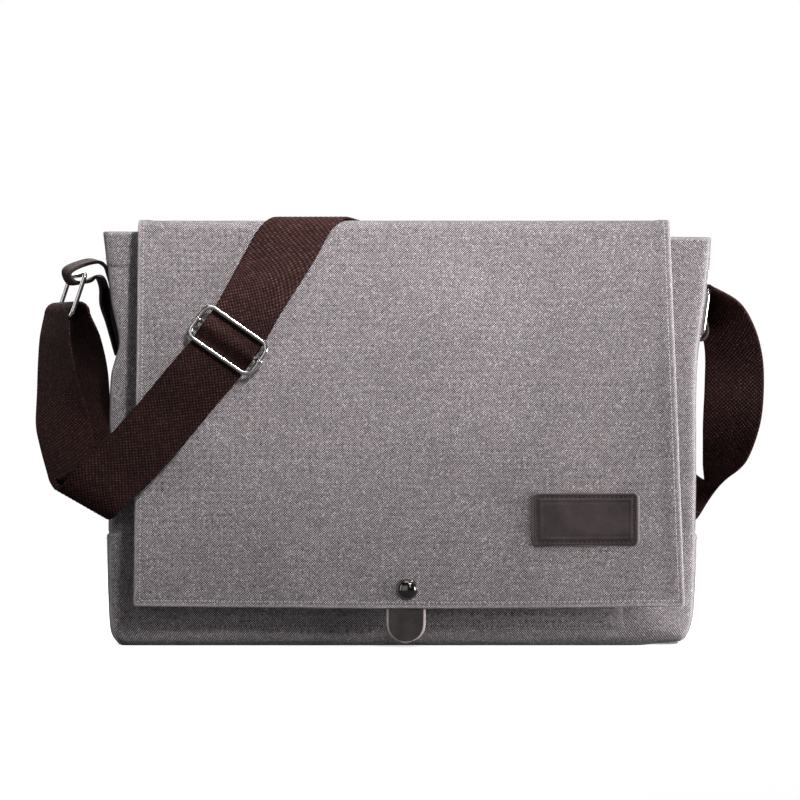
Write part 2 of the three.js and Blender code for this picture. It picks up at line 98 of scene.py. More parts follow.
def catmull(points, steps=24, centripetal=True):
    """Points on a smooth curve through the given ones."""
    p = np.asarray(points, float)
    p = np.vstack([2 * p[0] - p[1], p, 2 * p[-1] - p[-2]])
    t = np.linspace(0, 1, steps, endpoint=False)[:, None]
    out = []
    for k in range(1, len(p) - 2):
        p0, p1, p2, p3 = p[k - 1 : k + 3]
        d0 = d1 = d2 = 1.0
        if centripetal:
            d0, d1, d2 = (max(np.linalg.norm(b - a) ** 0.5, 1e-4) for a, b in ((p0, p1), (p1, p2), (p2, p3)))
        m1 = ((p1 - p0) / d0 - (p2 - p0) / (d0 + d1) + (p2 - p1) / d1) * d1
        m2 = ((p2 - p1) / d1 - (p3 - p1) / (d1 + d2) + (p3 - p2) / d2) * d1
        out.append((2 * t**3 - 3 * t**2 + 1) * p1 + (t**3 - 2 * t**2 + t) * m1
                   + (3 * t**2 - 2 * t**3) * p2 + (t**3 - t**2) * m2)
    out.append(p[-2:-1])
    return np.vstack(out)


def waves(points, size, seed):
    """Smooth random values from about -1 to 1, the same each run."""
    flat = np.asarray(points, float).reshape(-1, 3) / size + seed * 17.13
    values = np.array([noise.noise(Vector(p)) for p in flat])
    return values.reshape(np.shape(points)[:-1]) * 1.6


def profile(stations):
    line = catmull([(z, x) for z, x in stations])
    return lambda z: np.interp(z, line[:, 0], line[:, 1])


left_edge = profile([(0, -193), (8, -198), (20, -200), (90, -201), (150, -201), (178, -200.2), (187, -199.2),
                     (196, -196.6), (206, -194), (214, -194.8), (234, -199), (262, -202), (284, -204.5)])
right_edge = profile([(0, 192), (8, 196), (22, 199), (109, 201), (193, 202), (248, 208), (284, 211)])


def front_face(z):
    return mix(-44, -40, np.asarray(z, float) / BODY_TOP)


def back_face(z):
    return mix(46, 42, np.asarray(z, float) / BODY_TOP)


def flap_face(z):
    return mix(-63, -51, (np.asarray(z, float) - FLAP_HEM) / (BODY_TOP - FLAP_HEM))


# ---------------------------------------------------------------- meshes
def link(name, data):
    obj = bpy.data.objects.new(name, data)
    bpy.context.scene.collection.objects.link(obj)
    return obj


def make(name, points, faces, materials, uv=None, slots=None, sharp=(), wear=None):
    """A closed mesh from points in millimetres. uv is per point, slots per face, sharp by point pairs."""
    mesh = bpy.data.meshes.new(name)
    mesh.from_pydata((np.asarray(points) * MM).tolist(), [], [list(map(int, f)) for f in faces])
    for material in materials:
        mesh.materials.append(material)
    if slots is not None:
        mesh.polygons.foreach_set("material_index", np.asarray(slots, np.int32))
    if uv is not None:
        layer = mesh.uv_layers.new(name="Cloth")
        index = np.zeros(len(mesh.loops), np.int32)
        mesh.loops.foreach_get("vertex_index", index)
        layer.data.foreach_set("uv", (np.asarray(uv) * MM)[index].astype(np.float32).ravel())
    if wear is not None:
        worn = mesh.attributes.new("Wear", "FLOAT", "POINT")
        worn.data.foreach_set("value", np.asarray(wear, np.float32))
    bm = bmesh.new()
    bm.from_mesh(mesh)
    bmesh.ops.recalc_face_normals(bm, faces=bm.faces)
    bm.to_mesh(mesh)
    bm.free()
    mesh.polygons.foreach_set("use_smooth", np.ones(len(mesh.polygons), bool))
    wanted = {tuple(sorted(map(int, pair))) for pair in sharp}
    for edge in mesh.edges if wanted else ():
        if tuple(sorted(edge.vertices)) in wanted:
            edge.use_edge_sharp = True
    mesh.update()
    return link(name, mesh)


class Sheet:
    """A grid of points on the outer face of a sheet, with its normals and its flat lengths u and v."""

    def __init__(self, points, outward):
        self.p = np.asarray(points, float)
        du = np.gradient(self.p, axis=0)
        dv = np.gradient(self.p, axis=1)
        self.n = unit(np.cross(du, dv)) * outward
        self.du, self.dv = unit(du), unit(dv)
        self.u = np.concatenate([[0], np.cumsum(np.linalg.norm(np.diff(self.p, axis=0), axis=2).mean(1))])
        self.v = np.concatenate([[0], np.cumsum(np.linalg.norm(np.diff(self.p, axis=1), axis=2).mean(0))])

    def at(self, u, v):
        """Points and normals at flat lengths u and v."""
        i = np.clip(np.interp(u, self.u, np.arange(len(self.u))), 0, len(self.u) - 1.0001)
        j = np.clip(np.interp(v, self.v, np.arange(len(self.v))), 0, len(self.v) - 1.0001)
        a, b = i.astype(int), j.astype(int)
        s, t = (i - a)[:, None], (j - b)[:, None]
        out = []
        for grid in (self.p, self.n):
            out.append((grid[a, b] * (1 - s) + grid[a + 1, b] * s) * (1 - t)
                       + (grid[a, b + 1] * (1 - s) + grid[a + 1, b + 1] * s) * t)
        return out[0], unit(out[1])

    def line(self, u0, v0, u1, v1, lift=0.0, step=1.0):
        """A straight path on the flat cloth, as points and normals."""
        count = max(int(math.hypot(u1 - u0, v1 - v0) / step), 2)
        p, n = self.at(np.linspace(u0, u1, count), np.linspace(v0, v1, count))
        return p + n * lift, n

    def rows(self, first, last):
        """Some rows of the sheet, with the whole sheet's normals and flat lengths."""
        piece = Sheet.__new__(Sheet)
        rows = slice(first, last)
        piece.p, piece.n, piece.du, piece.dv = self.p[rows], self.n[rows], self.du[rows], self.dv[rows]
        piece.u, piece.v = self.u[rows], self.v
        return piece


def sheet_facing(points, way):
    """A Sheet whose normals point along way in its middle."""
    sheet = Sheet(points, 1)
    middle = sheet.n[len(sheet.n) // 2, sheet.n.shape[1] // 2]
    return sheet if np.dot(middle, way) > 0 else Sheet(points, -1)


FRONT, BACK = (0, -1, 0), (0, 1, 0)
RIM_STEPS = 4
FAR = 1e3


def slab(name, sheet, thickness, materials, cut="", relief=None, worn=6.0, rim=1.0):
    """A closed sheet of the given thickness under a Sheet, with rounded rims. cut names the edges (u, U, v,
    V: low and high ends) that are cut square, where the next piece of the same cloth goes on. relief raises
    both faces, and worn is how far from an edge the wear reaches."""
    n, m = sheet.p.shape[:2]
    over, under = relief if relief is not None else (np.zeros((n, m)),) * 2
    outer = sheet.p + sheet.n * over[..., None]
    inner = sheet.p - sheet.n * thickness - sheet.n * under[..., None]
    grid_uv = np.stack(np.meshgrid(sheet.u, sheet.v, indexing="ij"), -1)
    index = np.arange(n * m).reshape(n, m)
    loop = ([(0, j) for j in range(m)] + [(i, m - 1) for i in range(1, n)]
            + [(n - 1, j) for j in range(m - 2, -1, -1)] + [(i, 0) for i in range(n - 2, 0, -1)])
    i, j = np.array(loop).T
    # for each edge: which loop points are on it, its axis and sign on the flat cloth, distances from it
    edges = {"u": (i == 0, 0, -1, (sheet.u - sheet.u[0])[:, None]),
             "U": (i == n - 1, 0, 1, (sheet.u[-1] - sheet.u)[:, None]),
             "v": (j == 0, 1, -1, (sheet.v - sheet.v[0])[None]),
             "V": (j == m - 1, 1, 1, (sheet.v[-1] - sheet.v)[None])}
    way = np.zeros((len(loop), 2))
    from_edge = np.full((n, m), FAR)
    for code, (on, axis, sign, distance) in edges.items():
        if code not in cut:
            way[on, axis] = sign
            from_edge = np.minimum(from_edge, distance)
    normal = sheet.n[i, j]
    out = way[:, :1] * sheet.du[i, j] + way[:, 1:] * sheet.dv[i, j]
    out = out - normal * (out * normal).sum(1, keepdims=True)
    out = unit(out) * (np.abs(way).sum(1, keepdims=True) > 0)
    half = thickness / 2
    middle = (outer[i, j] + inner[i, j]) / 2
    depth = np.linalg.norm(outer[i, j] - inner[i, j], axis=1)[:, None] / 2
    points = [outer.reshape(-1, 3), inner.reshape(-1, 3)]
    uvs = [grid_uv.reshape(-1, 2), grid_uv.reshape(-1, 2)]
    rings = [index[i, j]]
    base = 2 * n * m
    for k in range(1, RIM_STEPS):
        angle = math.pi * k / RIM_STEPS
        points.append(middle + normal * depth * math.cos(angle) + out * half * rim * math.sin(angle))
        uvs.append(grid_uv[i, j] + way * half * angle)
        rings.append(base + np.arange(len(loop)))
        base += len(loop)
    rings.append(n * m + index[i, j])
    a, b, c, d = (grid.ravel() for grid in (index[:-1, :-1], index[1:, :-1], index[1:, 1:], index[:-1, 1:]))
    faces = [np.stack([a, b, c, d], 1), np.stack([d, c, b, a], 1) + n * m]
    slots = [np.zeros(2 * len(a), int)]
    for ring, following in zip(rings, rings[1:]):
        faces.append(np.stack([ring, np.roll(ring, -1), np.roll(following, -1), following], 1))
        slots.append(np.ones(len(loop), int) * min(len(materials) - 1, 1))
    sharp = []
    for code in cut:
        both = edges[code][0] & np.roll(edges[code][0], -1)
        for ring in (rings[0], rings[-1]):
            sharp += list(zip(ring[both], np.roll(ring, -1)[both]))
    wear = 1 - smooth(0, worn, from_edge) if worn else np.zeros((n, m))
    wear = np.concatenate([wear.ravel(), wear.ravel()] + [wear[i, j]] * (RIM_STEPS - 1))
    return make(name, np.vstack(points), np.vstack(faces), materials, np.vstack(uvs), np.concatenate(slots),
                sharp, wear)


STITCH_WIDTH, STITCH_HEIGHT = 0.42, 0.3
STITCH_SIDES = 6
STITCH_SHOULDER = 0.62            # where a stitch is thickest, as a part of its half length
STITCH_RISE, STITCH_SINK = 0.1, 0.25


def stitches(name, paths, material, pitch=3.0, fill=0.74, size=1.0):
    """Separate stitches along paths of (points, normals)."""
    turn = np.linspace(0, 2 * np.pi, STITCH_SIDES, endpoint=False)
    reach = pitch * fill / 2
    points, faces = [], []
    for p, n in paths:
        length = distances(p)
        number = max(int(round(length[-1] / pitch)), 1)
        middle = (np.arange(number) + 0.5) * length[-1] / number
        centres, ups = sample(middle, length, p), unit(sample(middle, length, n))
        alongs = unit(sample(middle + 0.3, length, p) - sample(middle - 0.3, length, p))
        for c, up, along in zip(centres, ups, alongs):
            side = np.cross(up, along)
            first = len(points)
            ring = (np.cos(turn)[:, None] * side * STITCH_WIDTH
                    + np.sin(turn)[:, None] * up * STITCH_HEIGHT) * size
            points.append(c - along * reach - up * STITCH_SINK)
            for offset in (-STITCH_SHOULDER, STITCH_SHOULDER):
                points += list(c + along * reach * offset + up * STITCH_RISE + ring)
            points.append(c + along * reach - up * STITCH_SINK)
            last = len(points) - 1
            for q in range(STITCH_SIDES):
                a, b = first + 1 + q, first + 1 + (q + 1) % STITCH_SIDES
                far_a, far_b = a + STITCH_SIDES, b + STITCH_SIDES
                faces += [(first, a, b), (a, far_a, far_b, b), (far_a, last, far_b)]
    return make(name, points, faces, [material])


def tube(name, path, radius, material, sides=16):
    """A closed loop of wire along points."""
    p = np.asarray(path, float)
    along = unit(np.roll(p, -1, 0) - np.roll(p, 1, 0))
    flat = unit(np.cross(p[len(p) // 3] - p[0], p[2 * len(p) // 3] - p[0]))
    side = unit(np.cross(along, flat))
    turn = np.linspace(0, 2 * np.pi, sides, endpoint=False)[None, :, None]
    points = p[:, None] + radius * (np.cos(turn) * side[:, None] + np.sin(turn) * flat)
    index = np.arange(len(p) * sides).reshape(len(p), sides)
    nxt, right = np.roll(index, -1, 0), np.roll(index, -1, 1)
    faces = np.stack([index, nxt, np.roll(nxt, -1, 1), right], -1).reshape(-1, 4)
    return make(name, points.reshape(-1, 3), faces, [material])


def lathe(name, outline, centre, axis, materials, segments=48):
    """A turned piece: outline is (radius, height) from the axis at the bottom to the axis at the top."""
    axis = unit(axis)
    side = unit(np.cross(axis, (0.3, 0.1, 1.0)))
    other = np.cross(axis, side)
    turn = np.linspace(0, 2 * np.pi, segments, endpoint=False)
    points, rings = [], []
    for radius, height in outline:
        base = np.asarray(centre, float) + axis * height
        if radius < 1e-6:
            rings.append([len(points)] * segments)
            points.append(base)
        else:
            rings.append(list(range(len(points), len(points) + segments)))
            points += list(base + radius * (np.cos(turn)[:, None] * side + np.sin(turn)[:, None] * other))
    faces = []
    for low, high in zip(rings, rings[1:]):
        for k in range(segments):
            q = (k + 1) % segments
            face = tuple(dict.fromkeys((low[k], low[q], high[q], high[k])))
            if len(face) > 2:
                faces.append(face)
    return make(name, points, faces, materials)


# ---------------------------------------------------------------- materials
class Graph:
    """Short calls for the nodes of a material or of the world."""

    def __init__(self, owner):
        owner.use_nodes = True
        self.owner, self.tree = owner, owner.node_tree

    def put(self, socket, value):
        if isinstance(value, bpy.types.NodeSocket):
            self.tree.links.new(value, socket)
        else:
            socket.default_value = value

    def node(self, kind, inputs=(), output=0, **settings):
        """A new node's output, or all of its outputs where output is None."""
        made = self.tree.nodes.new(kind)
        for key, value in settings.items():
            setattr(made, key, value)
        for key, value in dict(inputs).items():
            self.put(made.inputs[key], value)
        return made.outputs if output is None else made.outputs[output]

    def math(self, operation, a, b=0.0, c=0.0):
        return self.node("ShaderNodeMath", {0: a, 1: b, 2: c}, operation=operation)

    def noise(self, vector, scale, detail=2.0, rough=0.5):
        return self.node("ShaderNodeTexNoise",
                         {"Vector": vector, "Scale": scale, "Detail": detail, "Roughness": rough})

    def vector(self, x, y, z=0.0):
        return self.node("ShaderNodeCombineXYZ", {0: x, 1: y, 2: z})

    def ramp(self, factor, stops):
        """A colour ramp. A stop is its place and a colour or a grey."""
        made = self.tree.nodes.new("ShaderNodeValToRGB")
        self.put(made.inputs[0], factor)
        elements = made.color_ramp.elements
        while len(elements) < len(stops):
            elements.new(0.5)
        for element, (place, colour) in zip(elements, stops):
            element.position = place
            element.color = (*(colour if isinstance(colour, tuple) else (colour,) * 3), 1.0)
        return made.outputs[0]

    def blend(self, kind, factor, a, b):
        return self.node("ShaderNodeMix", {0: factor, 6: a, 7: b}, 2, data_type="RGBA", blend_type=kind)

    def shade(self, colour, factor, stops):
        return self.blend("MULTIPLY", 1.0, colour, self.ramp(factor, stops))

    def weave(self, pitch):
        """A plain weave from the flat-cloth coordinates: places and whole numbers of the threads both ways,
        the wave of their crossings, and a random value for each crossing."""
        where = self.node("ShaderNodeSeparateXYZ", {0: self.node("ShaderNodeUVMap", uv_map="Cloth")}, None)
        across, along = (self.math("MULTIPLY", where[k], 1 / (pitch * MM)) for k in (0, 1))
        wave = self.math("MULTIPLY", *(self.math("COSINE", self.math("MULTIPLY", way, math.pi))
                                       for way in (across, along)))
        column, row = (self.math("FLOOR", self.math("ADD", way, 0.5)) for way in (across, along))
        crossing = self.vector(column, row)
        cell = self.node("ShaderNodeTexWhiteNoise", {"Vector": crossing}, noise_dimensions="2D")
        return across, along, column, row, wave, cell

    def place(self):
        return self.node("ShaderNodeTexCoord", output=3)

    def worn(self, amount):
        """How much of the worn colour shows, from the mesh's Wear."""
        wear = self.node("ShaderNodeAttribute", output=2, attribute_name="Wear")
        return self.math("MULTIPLY", wear, amount)


class Finish(Graph):
    """A material with one main shader."""

    def __init__(self, name, **values):
        super().__init__(bpy.data.materials.new(name))
        self.shader = self.tree.nodes["Principled BSDF"]
        for key, value in values.items():
            self.shader.inputs[key.replace("_", " ")].default_value = value

    def done(self, colour, roughness, height=None, distance=0.0002):
        self.put(self.shader.inputs["Base Color"], colour)
        self.put(self.shader.inputs["Roughness"], roughness)
        if height is not None:
            bumps = self.node("ShaderNodeBump", {"Height": height, "Distance": distance, "Strength": 1.0})
            self.put(self.shader.inputs["Normal"], bumps)
        return self.owner


def woven(name, dark, warp, weft, light, thread=0.8, wear=0.2, relief=0.00028):
    """A plain weave: paler warp threads pass over darker weft threads, with painted shade in the gaps between
    them and thick places.
    """
    g = Finish(name, Specular_IOR_Level=0.25, Sheen_Weight=0.08, Sheen_Roughness=0.5)
    across, along, column, row, wave, cell = g.weave(thread)
    height = g.math("ABSOLUTE", wave)
    over = g.math("GREATER_THAN", wave, 0.0)
    warp_tone = g.noise(g.vector(g.math("MULTIPLY", column, 7.3), g.math("MULTIPLY", along, 0.05)), 1.0, 3)
    weft_tone = g.noise(g.vector(g.math("MULTIPLY", across, 0.05), g.math("MULTIPLY", row, 9.1), 5.0), 1.0, 3)
    tone = g.node("ShaderNodeMix", {0: over, 2: weft_tone, 3: warp_tone})
    shade = g.math("ADD", g.math("MULTIPLY_ADD", tone, 0.9, 0.05), g.math("MULTIPLY_ADD", cell, 0.8, 0.1))
    colour = g.blend("MIX", over, (*weft, 1.0), (*warp, 1.0))
    colour = g.shade(colour, g.math("MULTIPLY", shade, 0.5), [(0.2, 0.45), (0.8, 1.35)])
    # painted shade: where the threads sink towards the gaps between crossings, the colour goes to dark
    crown = g.ramp(height, [(0.04, 0.0), (0.68, 1.0)])
    colour = g.blend("MIX", crown, (*dark, 1.0), colour)
    slub = g.math("MULTIPLY", g.ramp(cell, [(0.93, 0.0), (0.97, 1.0)]), crown)
    colour = g.blend("MIX", g.math("MULTIPLY", slub, 0.55), colour, (*light, 1.0))
    cloudy = g.noise(g.place(), 14.0, 4, 0.6)
    colour = g.shade(colour, cloudy, [(0.3, 0.88), (0.7, (1.1, 1.09, 1.09))])
    colour = g.blend("MIX", g.worn(wear), colour, (*light, 1.0))
    return g.done(colour, g.math("MULTIPLY_ADD", cell, 0.1, 0.82), height, relief)


STRAP_PITCH = 2.8                 # half-drop weave of the webbing
HALF_PITCH = STRAP_PITCH / 2


def webbing_material():
    """Brown cotton webbing, with painted highlight and shade on its weave and painted light that makes it
    paler high over the flap.
    """
    g = Finish("webbing_cotton", Specular_IOR_Level=0.06)
    _, _, _, _, wave, cell = g.weave(HALF_PITCH)
    height = g.math("POWER", g.math("MULTIPLY_ADD", wave, 0.5, 0.5), 1.4)
    fibre = g.noise(g.node("ShaderNodeUVMap", uv_map="Cloth"), 1400.0, 3, 0.7)
    # painted highlight and shade: the weave's crests are coloured lighter and its hollows darker, mixed with
    # random tone of crossings and fibres
    tone = g.math("ADD", g.math("MULTIPLY", height, 0.72), g.math("MULTIPLY_ADD", cell, 0.34, -0.12))
    tone = g.math("ADD", tone, g.math("MULTIPLY_ADD", fibre, 0.3, -0.15))
    colour = g.ramp(tone, [(0.0, (0.006, 0.003, 0.003)), (0.42, (0.019, 0.0078, 0.0072)),
                           (0.75, (0.042, 0.0175, 0.0158)), (1.0, (0.105, 0.047, 0.042))])
    colour = g.shade(colour, g.noise(g.place(), 22.0, 3), [(0.3, 0.85), (0.7, (1.12, 1.1, 1.08))])
    # painted light: from 0.18 m up the webbing is coloured paler, as if lit where it runs over the flap
    height_m = g.node("ShaderNodeSeparateXYZ", {0: g.place()}, 2)
    painted_light_high = g.node("ShaderNodeMapRange", {0: height_m, 1: 0.18, 2: 0.26}, interpolation_type="SMOOTHSTEP")
    painted_lit_colour = g.blend("MULTIPLY", 1.0, colour, (2.5, 2.75, 2.8, 1.0))
    colour = g.blend("MIX", g.math("MULTIPLY", painted_light_high, 0.85), colour, painted_lit_colour)
    relief = g.math("ADD", height, g.math("MULTIPLY", fibre, 0.25))
    return g.done(colour, g.math("MULTIPLY_ADD", fibre, 0.14, 0.7), relief, 0.00045)


def leather(name, colour, grain=0.00008, roughness=0.46, spread=0.35, gloss=0.3):
    g = Finish(name, Specular_IOR_Level=gloss)
    fine = g.noise(g.place(), 1500.0, 4, 0.6)
    pores = g.node("ShaderNodeTexVoronoi", {"Vector": g.place(), "Scale": 900.0}, feature="DISTANCE_TO_EDGE")
    cloudy = g.noise(g.place(), 70.0, 4, 0.6)
    low, high = (tuple(c * amount for c in colour) for amount in (1 - spread, 1 + spread))
    base = g.shade(g.ramp(cloudy, [(0.3, low), (0.7, high)]), fine, [(0.35, 0.86), (0.65, 1.1)])
    base = g.blend("MIX", g.worn(0.12), base, (0.3, 0.25, 0.24, 1.0))
    relief = g.math("ADD", g.math("MULTIPLY", g.math("MINIMUM", pores, 0.12), 4.0), fine)
    return g.done(base, g.math("MULTIPLY_ADD", cloudy, 0.2, roughness - 0.1), relief, grain)


def metal(name, colour, roughness):
    g = Finish(name, Metallic=1.0)
    rubbed = g.noise(g.place(), 260.0, 4, 0.65)
    base = g.ramp(rubbed, [(0.35, tuple(c * 0.86 for c in colour)), (0.65, colour)])
    return g.done(base, g.math("MULTIPLY_ADD", rubbed, 0.08, roughness))


def thread(name, low, high):
    g = Finish(name, Specular_IOR_Level=0.3, Sheen_Weight=0.15)
    fibre = g.noise(g.node("ShaderNodeMapping", {"Vector": g.place(), "Scale": (3000.0,) * 3}), 1.0, 3)
    return g.done(g.ramp(fibre, [(0.3, low), (0.7, high)]), 0.7, fibre, 0.00006)


canvas = woven("canvas_heather", (0.03, 0.025, 0.027), (0.90, 0.828, 0.865), (0.105, 0.0905, 0.099),
               (0.95, 0.9, 0.92))
lining_cloth = woven("lining_weave", (0.012, 0.011, 0.01), (0.05, 0.044, 0.042), (0.034, 0.03, 0.028),
                     (0.09, 0.08, 0.076), 0.6, 0.0, 0.00006)
webbing = webbing_material()
satin_leather = leather("leather_satin", (0.052, 0.042, 0.04))
tab_leather = leather("leather_tab_brown", (0.034, 0.014, 0.0135), roughness=0.62, gloss=0.02)
patch_leather = leather("leather_patch_grain", (0.042, 0.029, 0.030), roughness=0.5)
cut_leather = leather("leather_cut_edge", (0.55, 0.47, 0.46), 0.00004, 0.6, 0.2)
patch_edge = leather("leather_patch_edge", (0.16, 0.125, 0.12), 0.00004, 0.5)
dark_edge = leather("leather_painted_edge", (0.022, 0.012, 0.0115), 0.00004, 0.6, gloss=0.02)
board_fibre = leather("board_fibre", (0.03, 0.03, 0.031), 0.0001, 0.8)
nickel = metal("nickel_polished", (0.62, 0.605, 0.59), 0.11)
black_nickel = metal("nickel_black", (0.13, 0.122, 0.118), 0.09)
canvas_thread = thread("thread_grey", (0.32, 0.29, 0.29), (0.62, 0.58, 0.58))
body_thread = thread("thread_body", (0.16, 0.142, 0.146), (0.3, 0.27, 0.28))
# painted shade: a darker copy of the body thread, for the pocket's stitches that lie in the flap's shade
pocket_thread_shaded = thread("thread_pocket_painted_shade", (0.07, 0.062, 0.065), (0.15, 0.135, 0.14))
dark_thread = thread("thread_brown", (0.016, 0.009, 0.008), (0.05, 0.03, 0.026))


def settle(obj, body, replaces=()):
    """Makes a piece ride on one body."""
    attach(obj, body)
    if replaces:
        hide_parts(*replaces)


def bend(obj, a, b, start, end, slot, replaces=()):
    """Bakes a piece's transform into its mesh and hides the parts it replaces."""
    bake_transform(obj)
    if replaces:
        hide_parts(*replaces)


# ---------------------------------------------------------------- the body
CLOTH = 2.2
PANEL_COLUMNS, GUSSET_COLUMNS = 92, 30
turns = np.radians(np.linspace(0, 90, 8))
heights = sorted({*np.arange(12.5, BODY_TOP, 3.9), 74.4, 75.2, 75.7, 76.2, 76.8, 77.8,
                  261.2, 262.0, 262.8, 264.2, 281.5, 283.6})
z_rows = np.concatenate([BOTTOM * (1 - np.cos(turns)), heights])
inset_rows = np.concatenate([BOTTOM * (1 - np.sin(turns)), np.zeros(len(heights))])


def layers(z):
    """How far the lower band and the top hem stand off the cloth, with the groove of the seam beside each."""
    band = 1 - smooth(BAND_TOP - 0.7, BAND_TOP + 0.3, z) - 0.45 * bump(z, BAND_TOP + 1.0, 0.9)
    hem = 0.7 * smooth(HEM_LOW, HEM_LOW + 1.2, z) - 0.3 * bump(z, HEM_LOW - 0.4, 0.8)
    return band + hem


def top_drop(x, z):
    """The bag's mouth hangs lower at its right end."""
    return mix(1.6, 5.6, (np.clip(x, -205, 205) + 205) / 410) * smooth(190, 284, z)


def corner_fold(p):
    """The folds that run from the flap's lower corners down to the bag's, deeper on the right."""
    for side, start, depth in ((1, 160, 0.30), (-1, 172, 0.16)):
        past = side * p[..., 0] - (start + (30 - np.clip(p[..., 2], 0, 30)) * 1.1)
        past = 0.5 * (past + np.sqrt(past**2 + 2.0))
        p[..., 1] += depth * past * smooth(110, 30, p[..., 2]) * smooth(20, -30, p[..., 1])
    return p


def slump(p, outward, seed, amount):
    """Soft hollows and folds of standing cloth, with the front lower corner lifted on the right."""
    z = p[..., 2]
    free = smooth(2, 30, z) * (1 - 0.75 * smooth(262, 283, z))
    move = amount * (waves(p * (1, 1, 0.75), 74, seed) + 0.45 * waves(p, 31, seed + 3)) * free
    p = p + outward * move[..., None]
    p[..., 2] -= top_drop(p[..., 0], p[..., 2])
    p[..., 2] += 3.4 * smooth(150, 190, p[..., 0]) * smooth(12, -38, p[..., 1]) * smooth(34, 0, p[..., 2])
    return corner_fold(p)


def face_panel(front):
    """The front or the back panel, round to the middle of its corners."""
    face, way, inwards = (front_face, FRONT, 1) if front else (back_face, BACK, -1)
    rows = []
    for z, inset in zip(z_rows, inset_rows):
        left, right = float(left_edge(z)) + CORNER, float(right_edge(z)) - CORNER
        y = float(face(z)) + inwards * inset
        row = arc(left, y + inwards * CORNER, CORNER, -135 * inwards, -90 * inwards)
        row += [(x, y) for x in np.linspace(left, right, PANEL_COLUMNS)[1:-1]]
        row += arc(right, y + inwards * CORNER, CORNER, -90 * inwards, -45 * inwards)
        rows.append([(*place, z) for place in row])
    p = np.array(rows)
    outward = sheet_facing(p, way).n
    u = (p[..., 0] - p[..., 0].min()) / np.ptp(p[..., 0])
    v = np.clip(p[..., 2] / BODY_TOP, 0, 1)
    fade = np.minimum(smooth(0, 0.09, u), smooth(0, 0.09, 1 - u))[..., None]
    bulge = (1.6 if front else 2.4) * np.sin(np.pi * u) ** 0.7 * np.sin(np.pi * v) ** 0.8
    p = p + outward * (bulge + layers(p[..., 2]))[..., None]
    if front:
        p = slump(p, outward * (0.35 + 0.65 * (1 - fade)), 2, 0.8)
    else:
        p = slump(p, outward * fade, 5, 1.3)
    return sheet_facing(p, way)


def gusset_bulge(side, z, v):
    """The gusset's shape between its two seams, outwards: it is drawn in where the tab's side is pinched, and
    it stands out behind the left tab's tail."""
    if side < 0:
        out = 1.6 * bump(z, 205, 16) - 3.0 * smooth(222, 280, z) + 1.2 * bump(z, 60, 50)
    else:
        out = 2.0 * bump(z, 50, 40) - 8.0 * smooth(60, 215, z)
    return out * np.sin(np.pi * v) ** (1.0 if side > 0 else 0.8)


def gusset_panel(side):
    """A side panel, round to the middle of its corners. side is -1 for the left one, 1 for the right one."""
    edge, facing = (left_edge, 180) if side < 0 else (right_edge, 0)
    rows = []
    for z, inset in zip(z_rows, inset_rows):
        x = float(edge(z))
        low, high = float(front_face(z)) + inset + CORNER, float(back_face(z)) - inset - CORNER
        v = np.linspace(0, 1, GUSSET_COLUMNS)
        row = arc(x - side * CORNER, low, CORNER, facing - 45 * side, facing)
        row += list(zip(x + side * gusset_bulge(side, z, v), mix(low, high, v)))[1:-1]
        row += arc(x - side * CORNER, high, CORNER, facing, facing + 45 * side)
        rows.append([(*place, z) for place in row])
    p = np.array(rows)
    outward = np.zeros_like(p)
    outward[..., 0] = side
    z = p[..., 2]
    crease = 1.6 * bump(p[..., 1], 3, 5.0) * smooth(150, 40, z) * smooth(4, 30, z)
    p = p + outward * (layers(z) - crease)[..., None]
    fade = np.sin(np.pi * np.linspace(0, 1, p.shape[1]))[None, :, None]
    return sheet_facing(slump(p, outward * fade, 8 + side, 1.5), (side, 0, 0))


panels = {"front_panel": face_panel(True), "back_panel": face_panel(False),
          "left_gusset": gusset_panel(-1), "right_gusset": gusset_panel(1)}
for name, sheet in panels.items():
    piece = slab(name + "_cloth", sheet, CLOTH, [canvas], worn=2.0)
    settle(piece, "root", [name])

BASE_LEFT, BASE_RIGHT, BASE_FRONT, BASE_BACK = -189, 188, -35.2, 37.2
BASE_LOW = 0.35
x, y = np.meshgrid(np.linspace(BASE_LEFT, BASE_RIGHT, 60), np.linspace(BASE_FRONT, BASE_BACK, 16),
                   indexing="ij")
base_points = np.stack([x, y, np.full_like(x, BASE_LOW)], -1)
base_points[..., 2] += BASE_LOW * (waves(base_points, 60, 4) + 1)
base = slab("base_cloth", Sheet(base_points, -1), 2.0, [canvas], worn=2.5)
settle(base, "root", ["base_panel"])
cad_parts["base_board"].data.materials.clear()
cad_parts["base_board"].data.materials.append(board_fibre)

seams = []
for sheet in panels.values():
    for height in (BAND_TOP - 3.0, HEM_LOW + 3.5):
        u = float(np.interp(height, sheet.p[:, 5, 2], sheet.u))
        seams.append(sheet.line(u, 3.0, u, sheet.v[-1] - 3.0))
settle(stitches("body_stitching", seams, body_thread), "root")

# ---------------------------------------------------------------- lining bag
RING_COUNT = 120
LINING_THICK = 1.0
FACING_LOW = 256                          # the lining's canvas facing starts here


